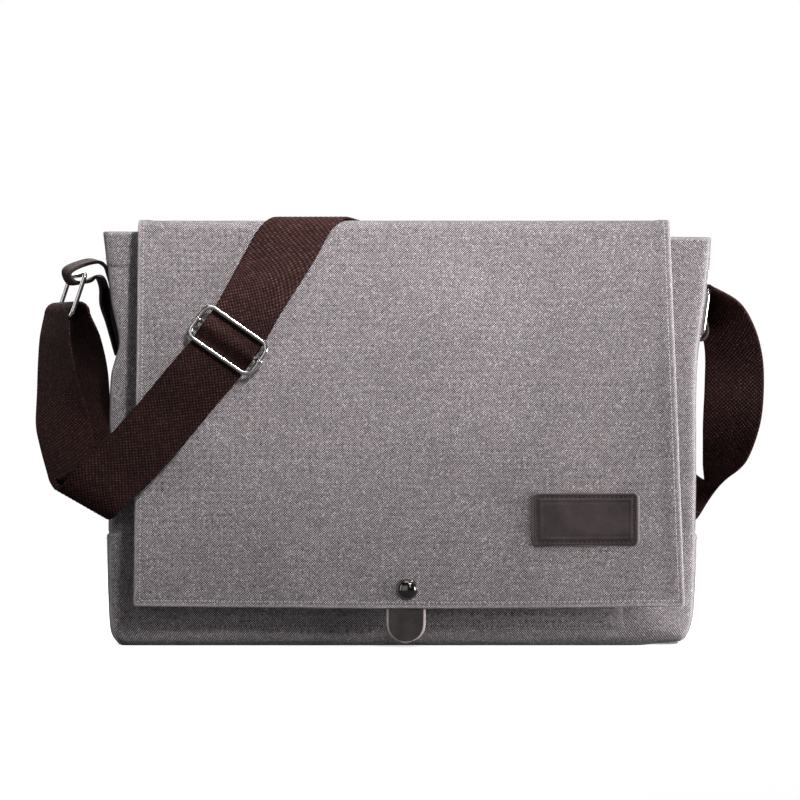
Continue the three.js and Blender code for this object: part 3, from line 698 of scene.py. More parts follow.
def lining_bag():
    """The lining's outer face, ring by ring from the middle of the base up to the mouth."""
    levels = [5.4, 5.4, 5.4, 5.6, 7.5, 11.0, *np.linspace(18, 256, 40), 257.5, 259, 266, 273, 279.6]
    shrink = [0.03, 0.5, 0.93, 0.985, 0.998] + [1.0] * (len(levels) - 5)
    angle = 2 * np.pi * np.arange(RING_COUNT) / RING_COUNT
    around = np.stack([np.cos(angle), np.sin(angle)])
    across, deep = around * (np.abs(around) ** 12).sum(0) ** (-1 / 12)
    v = np.clip((deep + 1) / 2, 0, 1)
    rows = []
    for z, share in zip(levels, shrink):
        level = max(z, BOTTOM)
        left, right = float(left_edge(level)) + 4.6, float(right_edge(level)) - 4.6
        low, high = float(front_face(level)) + 3.4, float(back_face(level)) - 3.4
        x, y = mix(left, right, (across + 1) / 2), mix(low, high, (deep + 1) / 2)
        for side in (-1, 1):
            x = x + side * gusset_bulge(side, level, v) * np.clip((side * across - 0.6) * 3, 0, 1)
        x, y = mix((left + right) / 2, x, share), mix((low + high) / 2, y, share)
        rows.append(np.stack([x, y, np.full(RING_COUNT, z)], -1))
    p = np.array(rows)
    inward = unit(np.array([0.0, 1.0, 0.0]) - p * (1, 1, 0)) * smooth(12, 40, p[..., 2])[..., None]
    slack = 0.9 * (waves(p, 42, 21) + 1) + 0.6 * (1 - smooth(FACING_LOW, FACING_LOW + 2, p[..., 2]))
    p = p + inward * slack[..., None]
    p[..., 2] -= top_drop(p[..., 0], p[..., 2])
    return corner_fold(p)


outer = lining_bag()
inside = unit(np.cross(unit(np.gradient(outer, axis=0)), np.roll(outer, -1, 1) - np.roll(outer, 1, 1)))
inside *= np.sign((inside * (np.array([0.0, 1.0, 150.0]) - outer)).sum(-1))[..., None]
inner = outer + inside * LINING_THICK
index = np.arange(outer[..., 0].size).reshape(-1, RING_COUNT)
following = np.roll(index, -1, 1)
quads = np.stack([index[:-1], index[1:], following[1:], following[:-1]], -1).reshape(-1, 4)
rim = np.stack([index[-1], following[-1], following[-1] + index.size, index[-1] + index.size], -1)
caps = [list(index[0]), list(index[0] + index.size)]
uv = np.meshgrid(distances(outer[:, 0]), np.arange(RING_COUNT) * 7.9, indexing="ij")
uv = np.stack(uv, -1).reshape(-1, 2)
facing = np.repeat(outer[:-1, 0, 2] > FACING_LOW, RING_COUNT).astype(int)
lining = make("lining_bag", np.vstack([outer.reshape(-1, 3), inner.reshape(-1, 3)]),
              [*quads, *(quads[:, ::-1] + index.size), *rim, *caps], [lining_cloth, canvas],
              np.vstack([uv, uv]), np.concatenate([facing, facing, np.ones(RING_COUNT, int), [0, 0]]))
settle(lining, "root", ["lining"])

# ---------------------------------------------------------------- front slip pocket
POCKET_HALF, POCKET_LOW = 150, 12
POCKET_RIM = 9                    # width of the pocket's sewn-down rim


def pocket_sheet():
    """The pocket's outer face: it swells from its sewn rim, with a hem along its mouth."""
    rim = np.linspace(0, POCKET_RIM, 7)
    xs = np.concatenate([rim - POCKET_HALF, np.linspace(-138, 138, 70), rim + POCKET_HALF - POCKET_RIM])
    zs = np.concatenate([rim + POCKET_LOW, np.linspace(24, 203, 46), [205.6, 206.6, 207.6, 212, 217, 221.5]])
    x, z = np.meshgrid(xs, zs, indexing="xy")
    from_side = POCKET_HALF - np.abs(x)
    off = 1.5 + 5.4 * smooth(0, 1, np.minimum(from_side / POCKET_RIM, (z - POCKET_LOW) / 34))
    off = off + 0.6 * smooth(205.4, 206.6, z) - 0.25 * bump(z, 205.0, 0.8)
    p = np.stack([x, front_face(z) - off, z], -1)
    p[..., 1] -= 0.9 * waves(p, 58, 31) * smooth(6, 40, from_side) * smooth(16, 60, z)
    return sheet_facing(p, FRONT)


pocket = pocket_sheet()
piece = slab("front_pocket_cloth", pocket, 1.4, [canvas], worn=0)
settle(piece, "root", ["front_pocket"])
top, end = pocket.u[-1], pocket.v[-1]
ends = ((top - 14, 2, top - 14, end - 2), (1.5, 4, 1.5, end - 4), (30, 1.5, top - 2, 1.5),
        (30, end - 1.5, top - 2, end - 1.5))
settle(stitches("pocket_stitching", [pocket.line(*four) for four in ends], pocket_thread_shaded), "root")

# ---------------------------------------------------------------- the flap
BACK_SEAM_Z = 258.0
HINGE_Y, HINGE_Z, HINGE_R = 41.6, 284.4, 5.8
FLAP_THICK = 2.0
ON_TOP = 289.0                    # the flap's flat top is above this
HEM_STITCH = 3.1                  # the hem's stitches, from the flap's edges
SECOND_STITCH = 8.5               # the back seam's second row
GROOVE_REACH = 4.4


def flap_line():
    """The flap's profile (y, z) from its seam on the back, over the top and the fold, down to the hem."""
    line = [(float(back_face(z)) + 3.3, z) for z in np.arange(BACK_SEAM_Z, BODY_TOP, 2.6)]
    line += arc(HINGE_Y, HINGE_Z, HINGE_R, 5, 90, 9)
    line += [(y, FLAP_TOP) for y in np.arange(39.0, -41.0, -2.5)]
    line += arc(FOLD_Y, FOLD_Z, FOLD_RADIUS, 90, 180, 12)
    line += [(float(flap_face(z)), z) for z in (*np.arange(278.5, 34, -2.8), 32.8, 31.6, 30.6, 29.8, 29.1)]
    return np.array(line)


def top_sag(y):
    """How far the flap's top hangs between the bag's front and back edges."""
    return 3.0 * smooth(-41, -16, y) * smooth(38, 14, y)


def flap_sheet(shrink=0.0, depth=0.0):
    """Points on the flap's outer face. For the lining, depth moves them in and shrink cuts it smaller."""
    line = flap_line()
    tangent = unit(np.gradient(line, axis=0))
    normal = np.stack([-tangent[:, 1], tangent[:, 0]], 1)
    if (normal * (line - (0.0, 150.0))).sum() < 0:
        normal = -normal
    on_top = line[:, 1] > ON_TOP
    line = line - normal * depth
    y, z = line.T
    fraction = np.concatenate([[0, 0.0035, 0.007, 0.012, 0.018, 0.0225, 0.026], np.linspace(0.04, 0.96, 110),
                               [0.974, 0.9775, 0.982, 0.988, 0.993, 0.9965, 1]])
    down = np.where(y < -30, np.clip((281.5 - z) / (281.5 - FLAP_HEM), 0, 1), 0)
    left, right = mix(-179.0, -181.0, down) + shrink, mix(181.0, 190.0, down) - shrink
    p = np.zeros((len(line), len(fraction), 3))
    p[..., 0] = left[:, None] * (1 - fraction) + right[:, None] * fraction
    p[..., 1:] = line[:, None]
    p[..., 2] -= 1.5 * np.sin(np.pi * fraction) * (smooth(110, FLAP_HEM, z) * (y < -30))[:, None]
    drape = 0.85 * waves(p * (1, 0, 0.8), 88, 41) + 0.4 * waves(p * (1, 0, 1), 37, 44)
    ripple = 0.9 * smooth(90, FLAP_HEM, z)[:, None] * waves(p * (1, 0, 0.3), 46, 47)
    on_front = (y < -50) * smooth(0, 26, 281 - z)
    p[..., 1] -= on_front[:, None] * (drape + ripple)
    p[..., 2] -= (top_sag(y) * on_top)[:, None] * (1 + 0.12 * waves(p, 60, 51))
    return p


def folded(edge, width=8.0):
    """The step of a hem folded under: the cloth is thicker there, with a groove along the stitches."""
    return 0.5 * (1 - smooth(width - 0.6, width + 0.8, edge)) - 0.34 * bump(edge, HEM_STITCH, 0.75)


def hem_lift(sheet):
    """How far the side hems, the front hem and the back seam stand off. Where grooves cross, the deeper one
    is kept."""
    sides = np.minimum(sheet.v, sheet.v[-1] - sheet.v)[None]
    edges = np.stack([np.broadcast_to(edge, sheet.p.shape[:2])
                      for edge in (sides, (sheet.u[-1] - sheet.u)[:, None], sheet.u[:, None])])
    hems, grooved = folded(edges), edges < GROOVE_REACH
    return np.where(grooved.any(0), np.where(grooved, hems, FAR).min(0), hems.max(0))


def row_where(test):
    return int(np.argmax(test))


line = flap_line()
flap = sheet_facing(flap_sheet(), FRONT)
flap.u = distances(line)
flap.p = flap.p + flap.n * hem_lift(flap)[..., None]
row_strip, row_top = (row_where((line[:, 1] > ON_TOP) & (line[:, 0] < y)) for y in (33, -2))
BLEND_BACK = ("root", "flap_top", (0, 47.6, 272.0), (0, 35.0, 290.2))
BLEND_FOLD = ("flap_top", "flap_front", (0, -37.0, 290.2), (0, -51.0, 276.0))
side_stitches = (HEM_STITCH, flap.v[-1] - HEM_STITCH)
split, hem = flap.u[row_top], flap.u[-1] - HEM_STITCH
for name, sheet, cut, joint, node, low, high, rows in (
    ("flap_rear", flap.rows(0, row_top + 1), "U", BLEND_BACK, "flap_top_canvas",
     HEM_STITCH, split, (HEM_STITCH, SECOND_STITCH)),
    ("flap_front", flap.rows(row_top, None), "u", BLEND_FOLD, "flap_front_canvas", split, hem, (hem,)),
):
    piece = slab(name + "_cloth", sheet, FLAP_THICK, [canvas], cut, worn=1.6)
    bend(piece, *joint, "canvas", [node])
    paths = [flap.line(low, v, high, v, -0.05) for v in side_stitches]
    paths += [flap.line(u, side_stitches[0], u, side_stitches[1], -0.05) for u in rows]
    bend(stitches(name + "_stitching", paths, canvas_thread, 2.7), *joint, "canvas")

kept = [k for k in range(row_strip + 3, len(line)) if not (line[k, 0] < -50 and line[k, 1] < 39)][::2]
flap_lining = sheet_facing(flap_sheet(9.0, FLAP_THICK + 0.35)[kept][:, ::2], FRONT)
split = row_where(line[kept, 0] < -2)
for name, sheet, cut, joint, node in (
    ("flap_lining_rear", flap_lining.rows(0, split + 1), "U", BLEND_BACK, "flap_top_lining"),
    ("flap_lining_front", flap_lining.rows(split, None), "u", BLEND_FOLD, "flap_front_lining"),
):
    piece = slab(name, sheet, LINING_THICK, [lining_cloth], cut)
    bend(piece, *joint, "lining", [node])


# ---------------------------------------------------------------- leather patch, snap and pull tab
def flap_at(x, z):
    """Points and normals on the flap's front at places x and z of the front view."""
    rows = slice(row_where((line[:, 0] < -50.5) & (line[:, 1] < 279)), None)
    p, n = flap.p[rows], flap.n[rows]
    row = np.interp(z, p[::-1, 60, 2], np.arange(len(p))[::-1])
    whole = np.clip(row.astype(int), 0, len(p) - 2)
    places, normals = np.zeros((2, *np.shape(x), 3))
    for k in np.ndindex(np.shape(x)):
        here, facing = (mix(grid[whole[k]], grid[whole[k] + 1], row[k] - whole[k]) for grid in (p, n))
        places[k], normals[k] = sample(x[k], here[:, 0], here), sample(x[k], here[:, 0], facing)
    return places, unit(normals)


def spread(half, low, high, count):
    """Values from -half to half, closer together within low and high of the ends."""
    turn = np.linspace(0, np.pi / 2, 6)
    middle = np.linspace(-half + low, half - high, count)[1:-1]
    return np.concatenate([-half + low * (1 - np.cos(turn)), middle, half - high * (1 - np.cos(turn[::-1]))])


def plate_grid(width, height, corner, nx, nz, low_corner=None):
    """Points over a rounded rectangle, middle at 0: rows from the bottom up."""
    low_corner = low_corner or corner
    rows = []
    for z in spread(height / 2, low_corner, corner, nz):
        cut = 0.0
        for over, radius in ((-height / 2 + low_corner - z, low_corner), (z - (height / 2 - corner), corner)):
            if over > 0:
                round_off = radius - math.sqrt(max(radius**2 - over**2, 0.0))
                cut = round_off * min(1.0, (width / 2) / radius)
        rows.append([(u * (width / 2 - cut), z) for u in spread(1.0, 0.12, 0.12, nx)])
    return np.array(rows)


PATCH_X, PATCH_Z, PATCH_W, PATCH_H = 124.0, 86.6, 72.4, 37.2
PATCH_RIM, PATCH_STITCH = 0.8, 3.4
grid = plate_grid(PATCH_W - 2 * PATCH_RIM, PATCH_H - 2 * PATCH_RIM, 3.4, 60, 34)
surface, normal = flap_at(grid[..., 0] + PATCH_X, grid[..., 1] + PATCH_Z)
inwards = (np.array([PATCH_W, PATCH_H]) / 2 - PATCH_RIM - np.abs(grid)).min(-1)
height = (2.1 - bump(inwards, 2.6, 0.8) - 0.5 * (1 - smooth(0, 1.2, inwards))
          - 0.35 * bump(inwards, 5.8, 0.5) - 0.2 * smooth(5.5, 6.5, inwards)
          + 0.12 * waves(np.dstack([grid, 0 * grid[..., 0]]), 9, 61))
patch = Sheet(surface + normal * height[..., None], 1)
patch.n = normal
piece = slab("leather_patch_plate", patch, 1.4, [patch_leather, patch_edge], worn=1.6, rim=1.6)
settle(piece, "flap_front", ["leather_patch"])
paths = []
right, high = PATCH_W / 2 - PATCH_STITCH, PATCH_H / 2 - PATCH_STITCH
corners = [(-right, -high), (right, -high), (right, high), (-right, high)]
for (x0, z0), (x1, z1) in zip(corners, corners[1:] + corners[:1]):
    count = int(math.hypot(x1 - x0, z1 - z0))
    p, n = flap_at(np.linspace(x0, x1, count) + PATCH_X, np.linspace(z0, z1, count) + PATCH_Z)
    paths.append((p + n * 1.25, n))
settle(stitches("patch_stitching", paths, dark_thread, 3.2, 0.62, 1.7), "flap_front")

SNAP_X, SNAP_Z = 3.0, 39.5
(snap_place,), (snap_normal,) = flap_at(np.array([SNAP_X]), np.array([SNAP_Z]))
flange = [(0, -0.2), (7.1, -0.2), (7.35, 0.15), (7.3, 0.6), (7.0, 0.95), (6.6, 1.05), (6.25, 0.95)]
dome = [(6.1 * math.cos(a), 1.0 + 2.3 * math.sin(a)) for a in np.radians(np.linspace(0, 90, 12)[:-1])]
dome.append((0.0, 3.3))
socket = [(3.6, 0), (3.6, -1.6), (4.1, -2.2), (5.2, -2.3), (6.6, -1.4), (7.0, -0.6), (7.0, 0), (3.6, 0)]
stud = [(0, -0.4), (6.2, -0.4), (6.4, 0.1), (6.0, 0.7), (3.4, 1.0), (2.5, 1.5), (2.4, 2.1), (2.8, 2.6),
        (2.4, 3.1), (1.2, 3.3), (0, 3.3)]
inside_place = snap_place - snap_normal * (FLAP_THICK + 1.6)
stud_place = (SNAP_X, float(front_face(SNAP_Z)) - 7.3, SNAP_Z)
for name, outline, place, way, material, body, node in (
    ("snap_cap_dome", flange + dome, snap_place, snap_normal, black_nickel, "flap_front", "snap_cap"),
    ("snap_socket_ring", socket, inside_place, snap_normal, nickel, "flap_front", "snap_socket"),
    ("snap_stud_post", stud, stud_place, FRONT, nickel, "root", "snap_stud"),
):
    settle(lathe(name, outline, place, way, [material]), body, [node])

TAB_LEFT, TAB_RIGHT, TAB_LOW, TAB_HIGH = -11.0, 15.6, 3.2, 31.0
grid = plate_grid(TAB_RIGHT - TAB_LEFT - 3.0, TAB_HIGH - TAB_LOW - 2.2, 1.2, 28, 22, 11.4)
x, z = grid[..., 0] + (TAB_LEFT + TAB_RIGHT) / 2, grid[..., 1] + (TAB_LOW + TAB_HIGH) / 2
y = -62.2 + 1.2 * smooth(26.5, TAB_HIGH, z) - 0.5 * np.cos(x / 9.0) * smooth(26, 6, z)
tab = sheet_facing(np.stack([x, y, z], -1), FRONT)
piece = slab("pull_tab_leather", tab, 1.6, [satin_leather, cut_leather], worn=0.5, rim=2.0)
settle(piece, "pull_tab", ["pull_tab"])


# ---------------------------------------------------------------- rings and the leather tabs that hold them
def rounded_loop(centre, along_width, along_height, width, height, corner):
    x, y = width / 2 - corner, height / 2 - corner
    flat = []
    for cx, cy, start in ((x, -y, -90), (x, y, 0), (-x, y, 90), (-x, -y, 180)):
        flat += arc(cx, cy, corner, start, start + 90, 13)
    flat = np.array(flat)
    return np.asarray(centre) + flat[:, :1] * unit(along_width) + flat[:, 1:] * unit(along_height)


LEFT_HINGE, RIGHT_HINGE = np.array([-226, 0, 254.4]), np.array([207, 0, 214.0])
LEFT_BAR, RIGHT_BAR = unit((-0.33, 0.944, 0)), unit((0, 1, 0))
LEFT_LEG, RIGHT_LEG = unit((-0.315, 0, -0.949)), unit((0.13, 0, 0.99))
RING_W, RING_H, RING_CORNER = 49.0, 33.0, 5.0
RING_REACH, RING_SPAN = RING_H - 2 * WIRE, RING_W - 2 * WIRE
for name, hinge, bar, leg in (("left_ring", LEFT_HINGE, LEFT_BAR, LEFT_LEG),
                              ("right_ring", RIGHT_HINGE, RIGHT_BAR, RIGHT_LEG)):
    path = rounded_loop(hinge + leg * RING_REACH / 2, bar, leg, RING_SPAN, RING_REACH, RING_CORNER - WIRE)
    settle(tube(name + "_wire", path, WIRE, nickel), name, [name])

PER_KNOT = 24                     # steps of a curve from one station to the next


def strip(stations, step, columns, share=1.0):
    """A Sheet along stations of (centre, across vector), rows a step apart, and the stations' distances."""
    centre = catmull([s[0] for s in stations], PER_KNOT)
    across = catmull([s[1] for s in stations], PER_KNOT, centripetal=False)
    length = distances(centre)
    at = np.linspace(0, length[-1], int(length[-1] / step) + 1)
    v = np.linspace(-0.5, 0.5, columns)[None, :, None] * share
    sheet = Sheet(sample(at, length, centre)[:, None] + sample(at, length, across)[:, None] * v, 1)
    sheet.u = at
    return sheet, length[::PER_KNOT]


TAB_THICK = 2.3
TAB_STEP, TAB_COLUMNS = 1.195, 15


def leather_strip(name, node, stations):
    sheet, _ = strip(stations, TAB_STEP, TAB_COLUMNS)
    sheet.p = sheet.p + sheet.n * TAB_THICK / 2
    settle(slab(name, sheet, TAB_THICK, [tab_leather, dark_edge], worn=2.0), "root", [node])


level, tilted = (0, 22.4, 0), (1.5, 22.2, 3.2)
turned, turned_up = tuple(LEFT_BAR * 22.4), tuple(LEFT_BAR * 22.2 + (0, 0, 2.6))
leather_strip("left_tab_leather", "left_tab", [
    ((-195.2, 0, 199.5), (2.5, 7, 0)), ((-196.6, 0, 212), (3, 20, 0)), ((-199.6, 0, 226), (3, 22, 0)),
    ((-201.2, 0, 240), level), ((-203.0, 0, 255), tilted), ((-212, 0, 264.0), turned_up),
    ((-224, 0, 262.4), turned_up), ((-233.6, 0, 256.8), turned_up), ((-230.2, 0, 249.6), turned),
    ((-220, 0, 250.0), turned), ((-211.6, 0, 253.6), (1, 22.2, 1.5)), ((-207.8, 0, 246), (3, 22, 0)),
    ((-206.8, 0, 234), (4, 22, 0)), ((-203.0, 0, 222), (4, 20, 0)), ((-198.0, 0, 199.5), (2.5, 7, 0)),
])
right_side = ((197.8, 202), (198.6, 216), (201.4, 230), (205.6, 234.6), (208.8, 230), (210.4, 221),
              (211.2, 214), (207.5, 209.4), (204.1, 213.4), (205.2, 224))
leather_strip("right_tab_leather", "right_tab",
              [((199.0, 0, 188), (0, 6, 0))] + [((x, 0, z), level) for x, z in right_side])

# ---------------------------------------------------------------- the webbing, in one length
# It goes from the adjuster's bar round the left ring, over the flap and behind the bag to the right ring.
ACROSS = unit((0.82, 0, -0.573))
FLAP_SLOPE = 12 / 255
ALONG = unit((0.573, 0.82 * FLAP_SLOPE, 0.82))
OUTWARD = unit(np.cross(ACROSS, ALONG))
ADJUSTER = np.array([-118, float(flap_face(208)), 208.0])
UNDER, MAIN = 1.9, 4.0            # middles of the return layer and of the main run above the flap
LEFT_END = LEFT_HINGE + LEFT_LEG * RING_REACH
RIGHT_END = RIGHT_HINGE + RIGHT_LEG * RING_REACH


def at_adjuster(along, lift):
    return tuple(ADJUSTER + ALONG * along + OUTWARD * lift)


def on_flap(x, z, lift):
    return (x, float(flap_face(z)) - lift, z)


def on_back(x, z, lift=5.8):
    return (x, float(back_face(z)) + lift, z)


def wide(*way):
    return tuple(unit(way) * STRAP_WIDTH)


def wrap(middle, side, start, end, steps, bar, reach, rise):
    """Stations round a bar of a ring."""
    angles = np.linspace(start, end, steps)
    return [(tuple(middle + (math.cos(a) * side * reach, 0, math.sin(a) * rise)), tuple(bar * STRAP_WIDTH))
            for a in angles]


def over_corner(x_ends, cy, cz, radii, angles, steps, width):
    """Stations over an edge of the flap, while x and the radius change evenly."""
    t = np.linspace(0, 1, steps)
    corner = zip(mix(*x_ends, t), mix(*radii, t), np.radians(mix(*angles, t)))
    return [((x, cy + r * math.cos(a), cz + r * math.sin(a)), width) for x, r, a in corner]


run = tuple(-ACROSS * STRAP_WIDTH)
fold_across = (-STRAP_WIDTH / 0.82, 0, 0)
back_across = (-STRAP_WIDTH / 0.72, 0, 0)
turning = tuple(mix(np.array(back_across), np.array(fold_across), 0.55))
back_run = wide(-0.68, 0, -0.73)
end_across = wide(-0.02, 1, 0)

path = [
    (at_adjuster(2, UNDER), run), (at_adjuster(-16, UNDER), run),
    (on_flap(-141, 179, UNDER), wide(-0.8, 0, 0.6)), (on_flap(-159, 157, UNDER), wide(-0.78, 0, 0.62)),
    ((-172, -61, 142), wide(-0.77, 0, 0.63)),
    ((-192, -64.2, 121), wide(-0.8, 0, 0.6)), ((-203, -66.0, 112), wide(-0.81, 0, 0.585)),
    ((-209.5, -64.6, 106.4), wide(-0.84, 0, 0.55)), ((-215.5, -60.0, 104.2), wide(-0.87, 0, 0.5)),
    ((-218.6, -52.0, 110.5), wide(-0.86, 0.1, 0.5)), ((-218.4, -42.5, 127), wide(-0.87, 0.26, 0.42)),
    ((-217.4, -29, 150), wide(-0.84, 0.5, 0.2)), ((-218, -14, 171), wide(-0.8, 0.6, 0.04)),
    ((-219.8, -5, 191), wide(-0.76, 0.65, 0)), ((-223.4, -1, 212), wide(-0.68, 0.73, 0)),
]
marks = {"inner_fold_end": 6, "inner_fold_start": 10, "inner_mid": 12, "wrap_start": len(path)}
path += wrap(LEFT_END + (2.0, 0, 0), -1, math.pi, 0, 7, unit((-0.52, 0.854, 0)), 7.0, 8.8)
wrapped = len(path) - 1
path += [
    ((-241.5, -3, 212), wide(-0.58, 0.81, 0)), ((-240.2, -9, 194), wide(-0.67, 0.74, 0)),
    ((-236.8, -20, 173), wide(-0.8, 0.6, 0)), ((-231.8, -34, 150), wide(-0.97, 0.24, 0.06)),
    ((-228, -47, 129), wide(-0.93, 0.12, 0.34)), ((-224, -55.4, 111), wide(-0.87, 0.06, 0.48)),
    ((-220.6, -60.6, 102), wide(-0.87, 0, 0.5)), ((-216, -65, 97.6), wide(-0.87, 0, 0.5)),
    ((-209.6, -69.6, 101.6), wide(-0.84, 0, 0.55)), ((-203, -70.2, 109.8), wide(-0.81, 0, 0.585)),
    ((-192, -67.6, 119.5), wide(-0.8, 0, 0.6)), ((-172, -64, 141), wide(-0.77, 0, 0.63)),
    (on_flap(-159, 157, MAIN), wide(-0.78, 0, 0.62)), (on_flap(-141, 179, MAIN), wide(-0.8, 0, 0.6)),
    (at_adjuster(-14, MAIN), run), (at_adjuster(14, MAIN), run),
    (on_flap(-99, 239, 3.6), wide(-0.84, 0, 0.54)), (on_flap(-85, 262, 2.8), fold_across),
]
marks |= {"wrap_end": wrapped, "outer_mid": wrapped + 3, "outer_fold_start": wrapped + 6,
          "outer_fold_end": wrapped + 10, "front_corner_start": len(path) - 1}
path += over_corner((-74.5, -62.0), FOLD_Y, FOLD_Z, (11.0, 10.7), (178, 92), 7, fold_across)
marks["front_corner_end"] = len(path) + 1
path += [((x, y, FLAP_TOP + 1.5 - float(top_sag(y))), fold_across)
         for x, y in ((-53, -28), (-46, -16), (-36, 0), (-23, 18), (-14, 31))]
marks["top_mid"] = len(path) - 2
path += over_corner((-5.5, 6.5), HINGE_Y, HINGE_Z, (7.4, 7.6), (88, 6), 6, turning)
path += [(on_back(16, 270), back_across), (on_back(27, 259), back_across)]
marks["back_start"] = len(path) - 1
path += [(on_back(x, z, 4.6), back_run) for x, z in ((60, 228), (130, 160), (180, 114))]
path += [
    ((203, 51.5, 94.5), wide(-0.62, 0.06, -0.78)), ((214.5, 47, 97), wide(-0.36, 0.5, -0.79)),
    ((222.5, 36, 107), wide(-0.34, 0.84, -0.4)), ((227, 28, 124), wide(-0.66, 0.75, -0.05)),
    ((231, 20, 150), wide(-0.93, 0.36, 0)), ((232.4, 14, 178), wide(-0.995, 0.1, 0)),
    ((231.2, 9, 201), wide(-0.92, 0.39, 0)), ((226.6, 5, 220), wide(-0.82, 0.57, 0)),
    ((221.8, 2, 235.5), wide(-0.5, 0.866, 0)),
]
marks |= {"right_mid": len(path) - 5, "right_wrap": len(path)}
path += wrap(RIGHT_END, 1, 0.5, math.pi - 0.2, 5, RIGHT_BAR, 3.9, 3.2)
path += [((206.2, 0, 238), end_across), ((206.0, 0, 231), end_across), ((206.0, 0, 224), end_across)]
marks["end"] = len(path) - 1

COLUMNS = 29
SELVAGE = 1.4                     # what the woven part leaves of the webbing's width for its rims
WOVEN_SHARE = 1 - SELVAGE / STRAP_WIDTH


def webbing_strip(stations):
    """The outer face of a length of webbing, and its stations' distances."""
    sheet, length = strip(stations, HALF_PITCH, COLUMNS, WOVEN_SHARE)
    sheet.v = np.arange(COLUMNS) * HALF_PITCH
    sheet.p = sheet.p + sheet.n * (STRAP_THICK / 2)
    return sheet, length


def crossings(rows, edge=0.13):
    """How far the webbing's crossings stand out or in, by turns. edge is for its two outermost columns."""
    relief = 0.13 * (np.add.outer(np.arange(rows), np.arange(COLUMNS)) % 2 * 2.0 - 1)
    relief[:, [0, -1]] *= edge / 0.13
    return relief


strap, run_length = webbing_strip(path)
strap_relief = crossings(len(strap.u), 0.05)
LAST_ROW = len(strap.u) - 1
SHIFT_LOW = ("root", "strap_loop", (-224, -14, 160), (-222, -46, 126))
LEFT_SWING = ("left_ring", "root", (-238, 0, 222), (-238, -12, 176))
RIGHT_SWING = ("right_ring", "root", (222, 0, 238), (236, 6, 170))
FRONT_SWING = ("flap_top", "strap_front", (0, -37.0, 291.4), (0, -52.5, 274.0))

# each piece of the strap goes on from the one before, up to a mark; it rides on a body or has its transform
# baked in where it stands
first = 0
for name, mark, how, nodes in (
    ("strap_return_run", "inner_fold_end", "strap_front", ["strap_return"]),
    ("strap_fold_inner", "inner_fold_start", "strap_loop", []),
    ("strap_left_low_inner", "inner_mid", SHIFT_LOW, ["strap_loop_left_inner"]),
    ("strap_left_high_inner", "wrap_start", LEFT_SWING, []),
    ("strap_left_ring_wrap", "wrap_end", "left_ring", ["strap_wrap_left"]),
    ("strap_left_high_outer", "outer_mid", LEFT_SWING, []),
    ("strap_left_low_outer", "outer_fold_start", SHIFT_LOW, ["strap_loop_left_outer"]),
    ("strap_fold_outer", "outer_fold_end", "strap_loop", ["strap_fold"]),
    ("strap_front_run", "front_corner_start", "strap_front", ["strap_front_lower", "strap_front_upper"]),
    ("strap_front_corner", "front_corner_end", FRONT_SWING, []),
    ("strap_top_run", "top_mid", "flap_top", ["strap_over_top"]),
    ("strap_back_corner", "back_start", BLEND_BACK, []),
    ("strap_back_length", "right_mid", "root", ["strap_back_run", "strap_loop_right"]),
    ("strap_right_loop", "right_wrap", RIGHT_SWING, []),
    ("strap_right_ring_wrap", "end", "right_ring", ["strap_wrap_right"]),
):
    last = int(round(run_length[marks[mark]] / HALF_PITCH)) if mark != "end" else LAST_ROW
    cut = ("u" if first else "") + ("U" if last < LAST_ROW else "")
    relief = strap_relief[first : last + 1]
    piece = slab(name, strap.rows(first, last + 1), STRAP_THICK, [webbing], cut, (relief, -relief), 0.5)
    if isinstance(how, str):
        settle(piece, how, nodes)
    else:
        bend(piece, *how, "webbing", nodes)
    first = last

# ---------------------------------------------------------------- the adjuster and the wave over its bar
FRAME_LIFT = MAIN + STRAP_THICK / 2 + 0.15 + WIRE
BAR_LIFT, BAR_RADIUS = FRAME_LIFT - 1.0, 1.2
FRAME_WIDTH, FRAME_HEIGHT, FRAME_CORNER = 54.0, 28.4, 8.0
WAVE_REACH = 12.4
WAVE_TOP = BAR_LIFT + BAR_RADIUS + 0.35 + STRAP_THICK / 2
stations = []
for k in range(-6, 7):
    crest = math.cos(min(abs(k) / 4.6, 1.0) * math.pi / 2) ** 2
    stations.append((at_adjuster(k / 6 * WAVE_REACH, mix(MAIN - 0.25, WAVE_TOP, crest)), run))
wave, _ = webbing_strip(stations)
relief = crossings(len(wave.u))
piece = slab("strap_adjuster_wave", wave, STRAP_THICK, [webbing], "uU", (relief, -relief), 0.5)
settle(piece, "adjuster", ["strap_at_adjuster"])

frame_middle = np.array(at_adjuster(0, FRAME_LIFT))
bar_half = FRAME_WIDTH / 2 - WIRE
path = rounded_loop(frame_middle, ACROSS, ALONG, 2 * bar_half, FRAME_HEIGHT - 2 * WIRE, FRAME_CORNER - WIRE)
settle(tube("adjuster_wire", path, WIRE, nickel), "adjuster", ["adjuster_frame"])
outline = [(0, -bar_half), (BAR_RADIUS, -bar_half), (BAR_RADIUS, bar_half), (0, bar_half)]
bar = lathe("adjuster_middle_bar", outline, at_adjuster(0, BAR_LIFT), ACROSS, [nickel], 20)
settle(bar, "adjuster", ["adjuster_bar"])
collar = [(WIRE, -1.3), (2.35, -1.3), (2.6, -0.9), (2.6, 0.9), (2.35, 1.3), (WIRE, 1.3), (WIRE, -1.3)]
for name, side in (("adjuster_collar_left", -1), ("adjuster_collar_right", 1)):
    piece = lathe(name, collar, frame_middle + ACROSS * side * bar_half, ALONG, [nickel], 24)
    settle(piece, "adjuster")

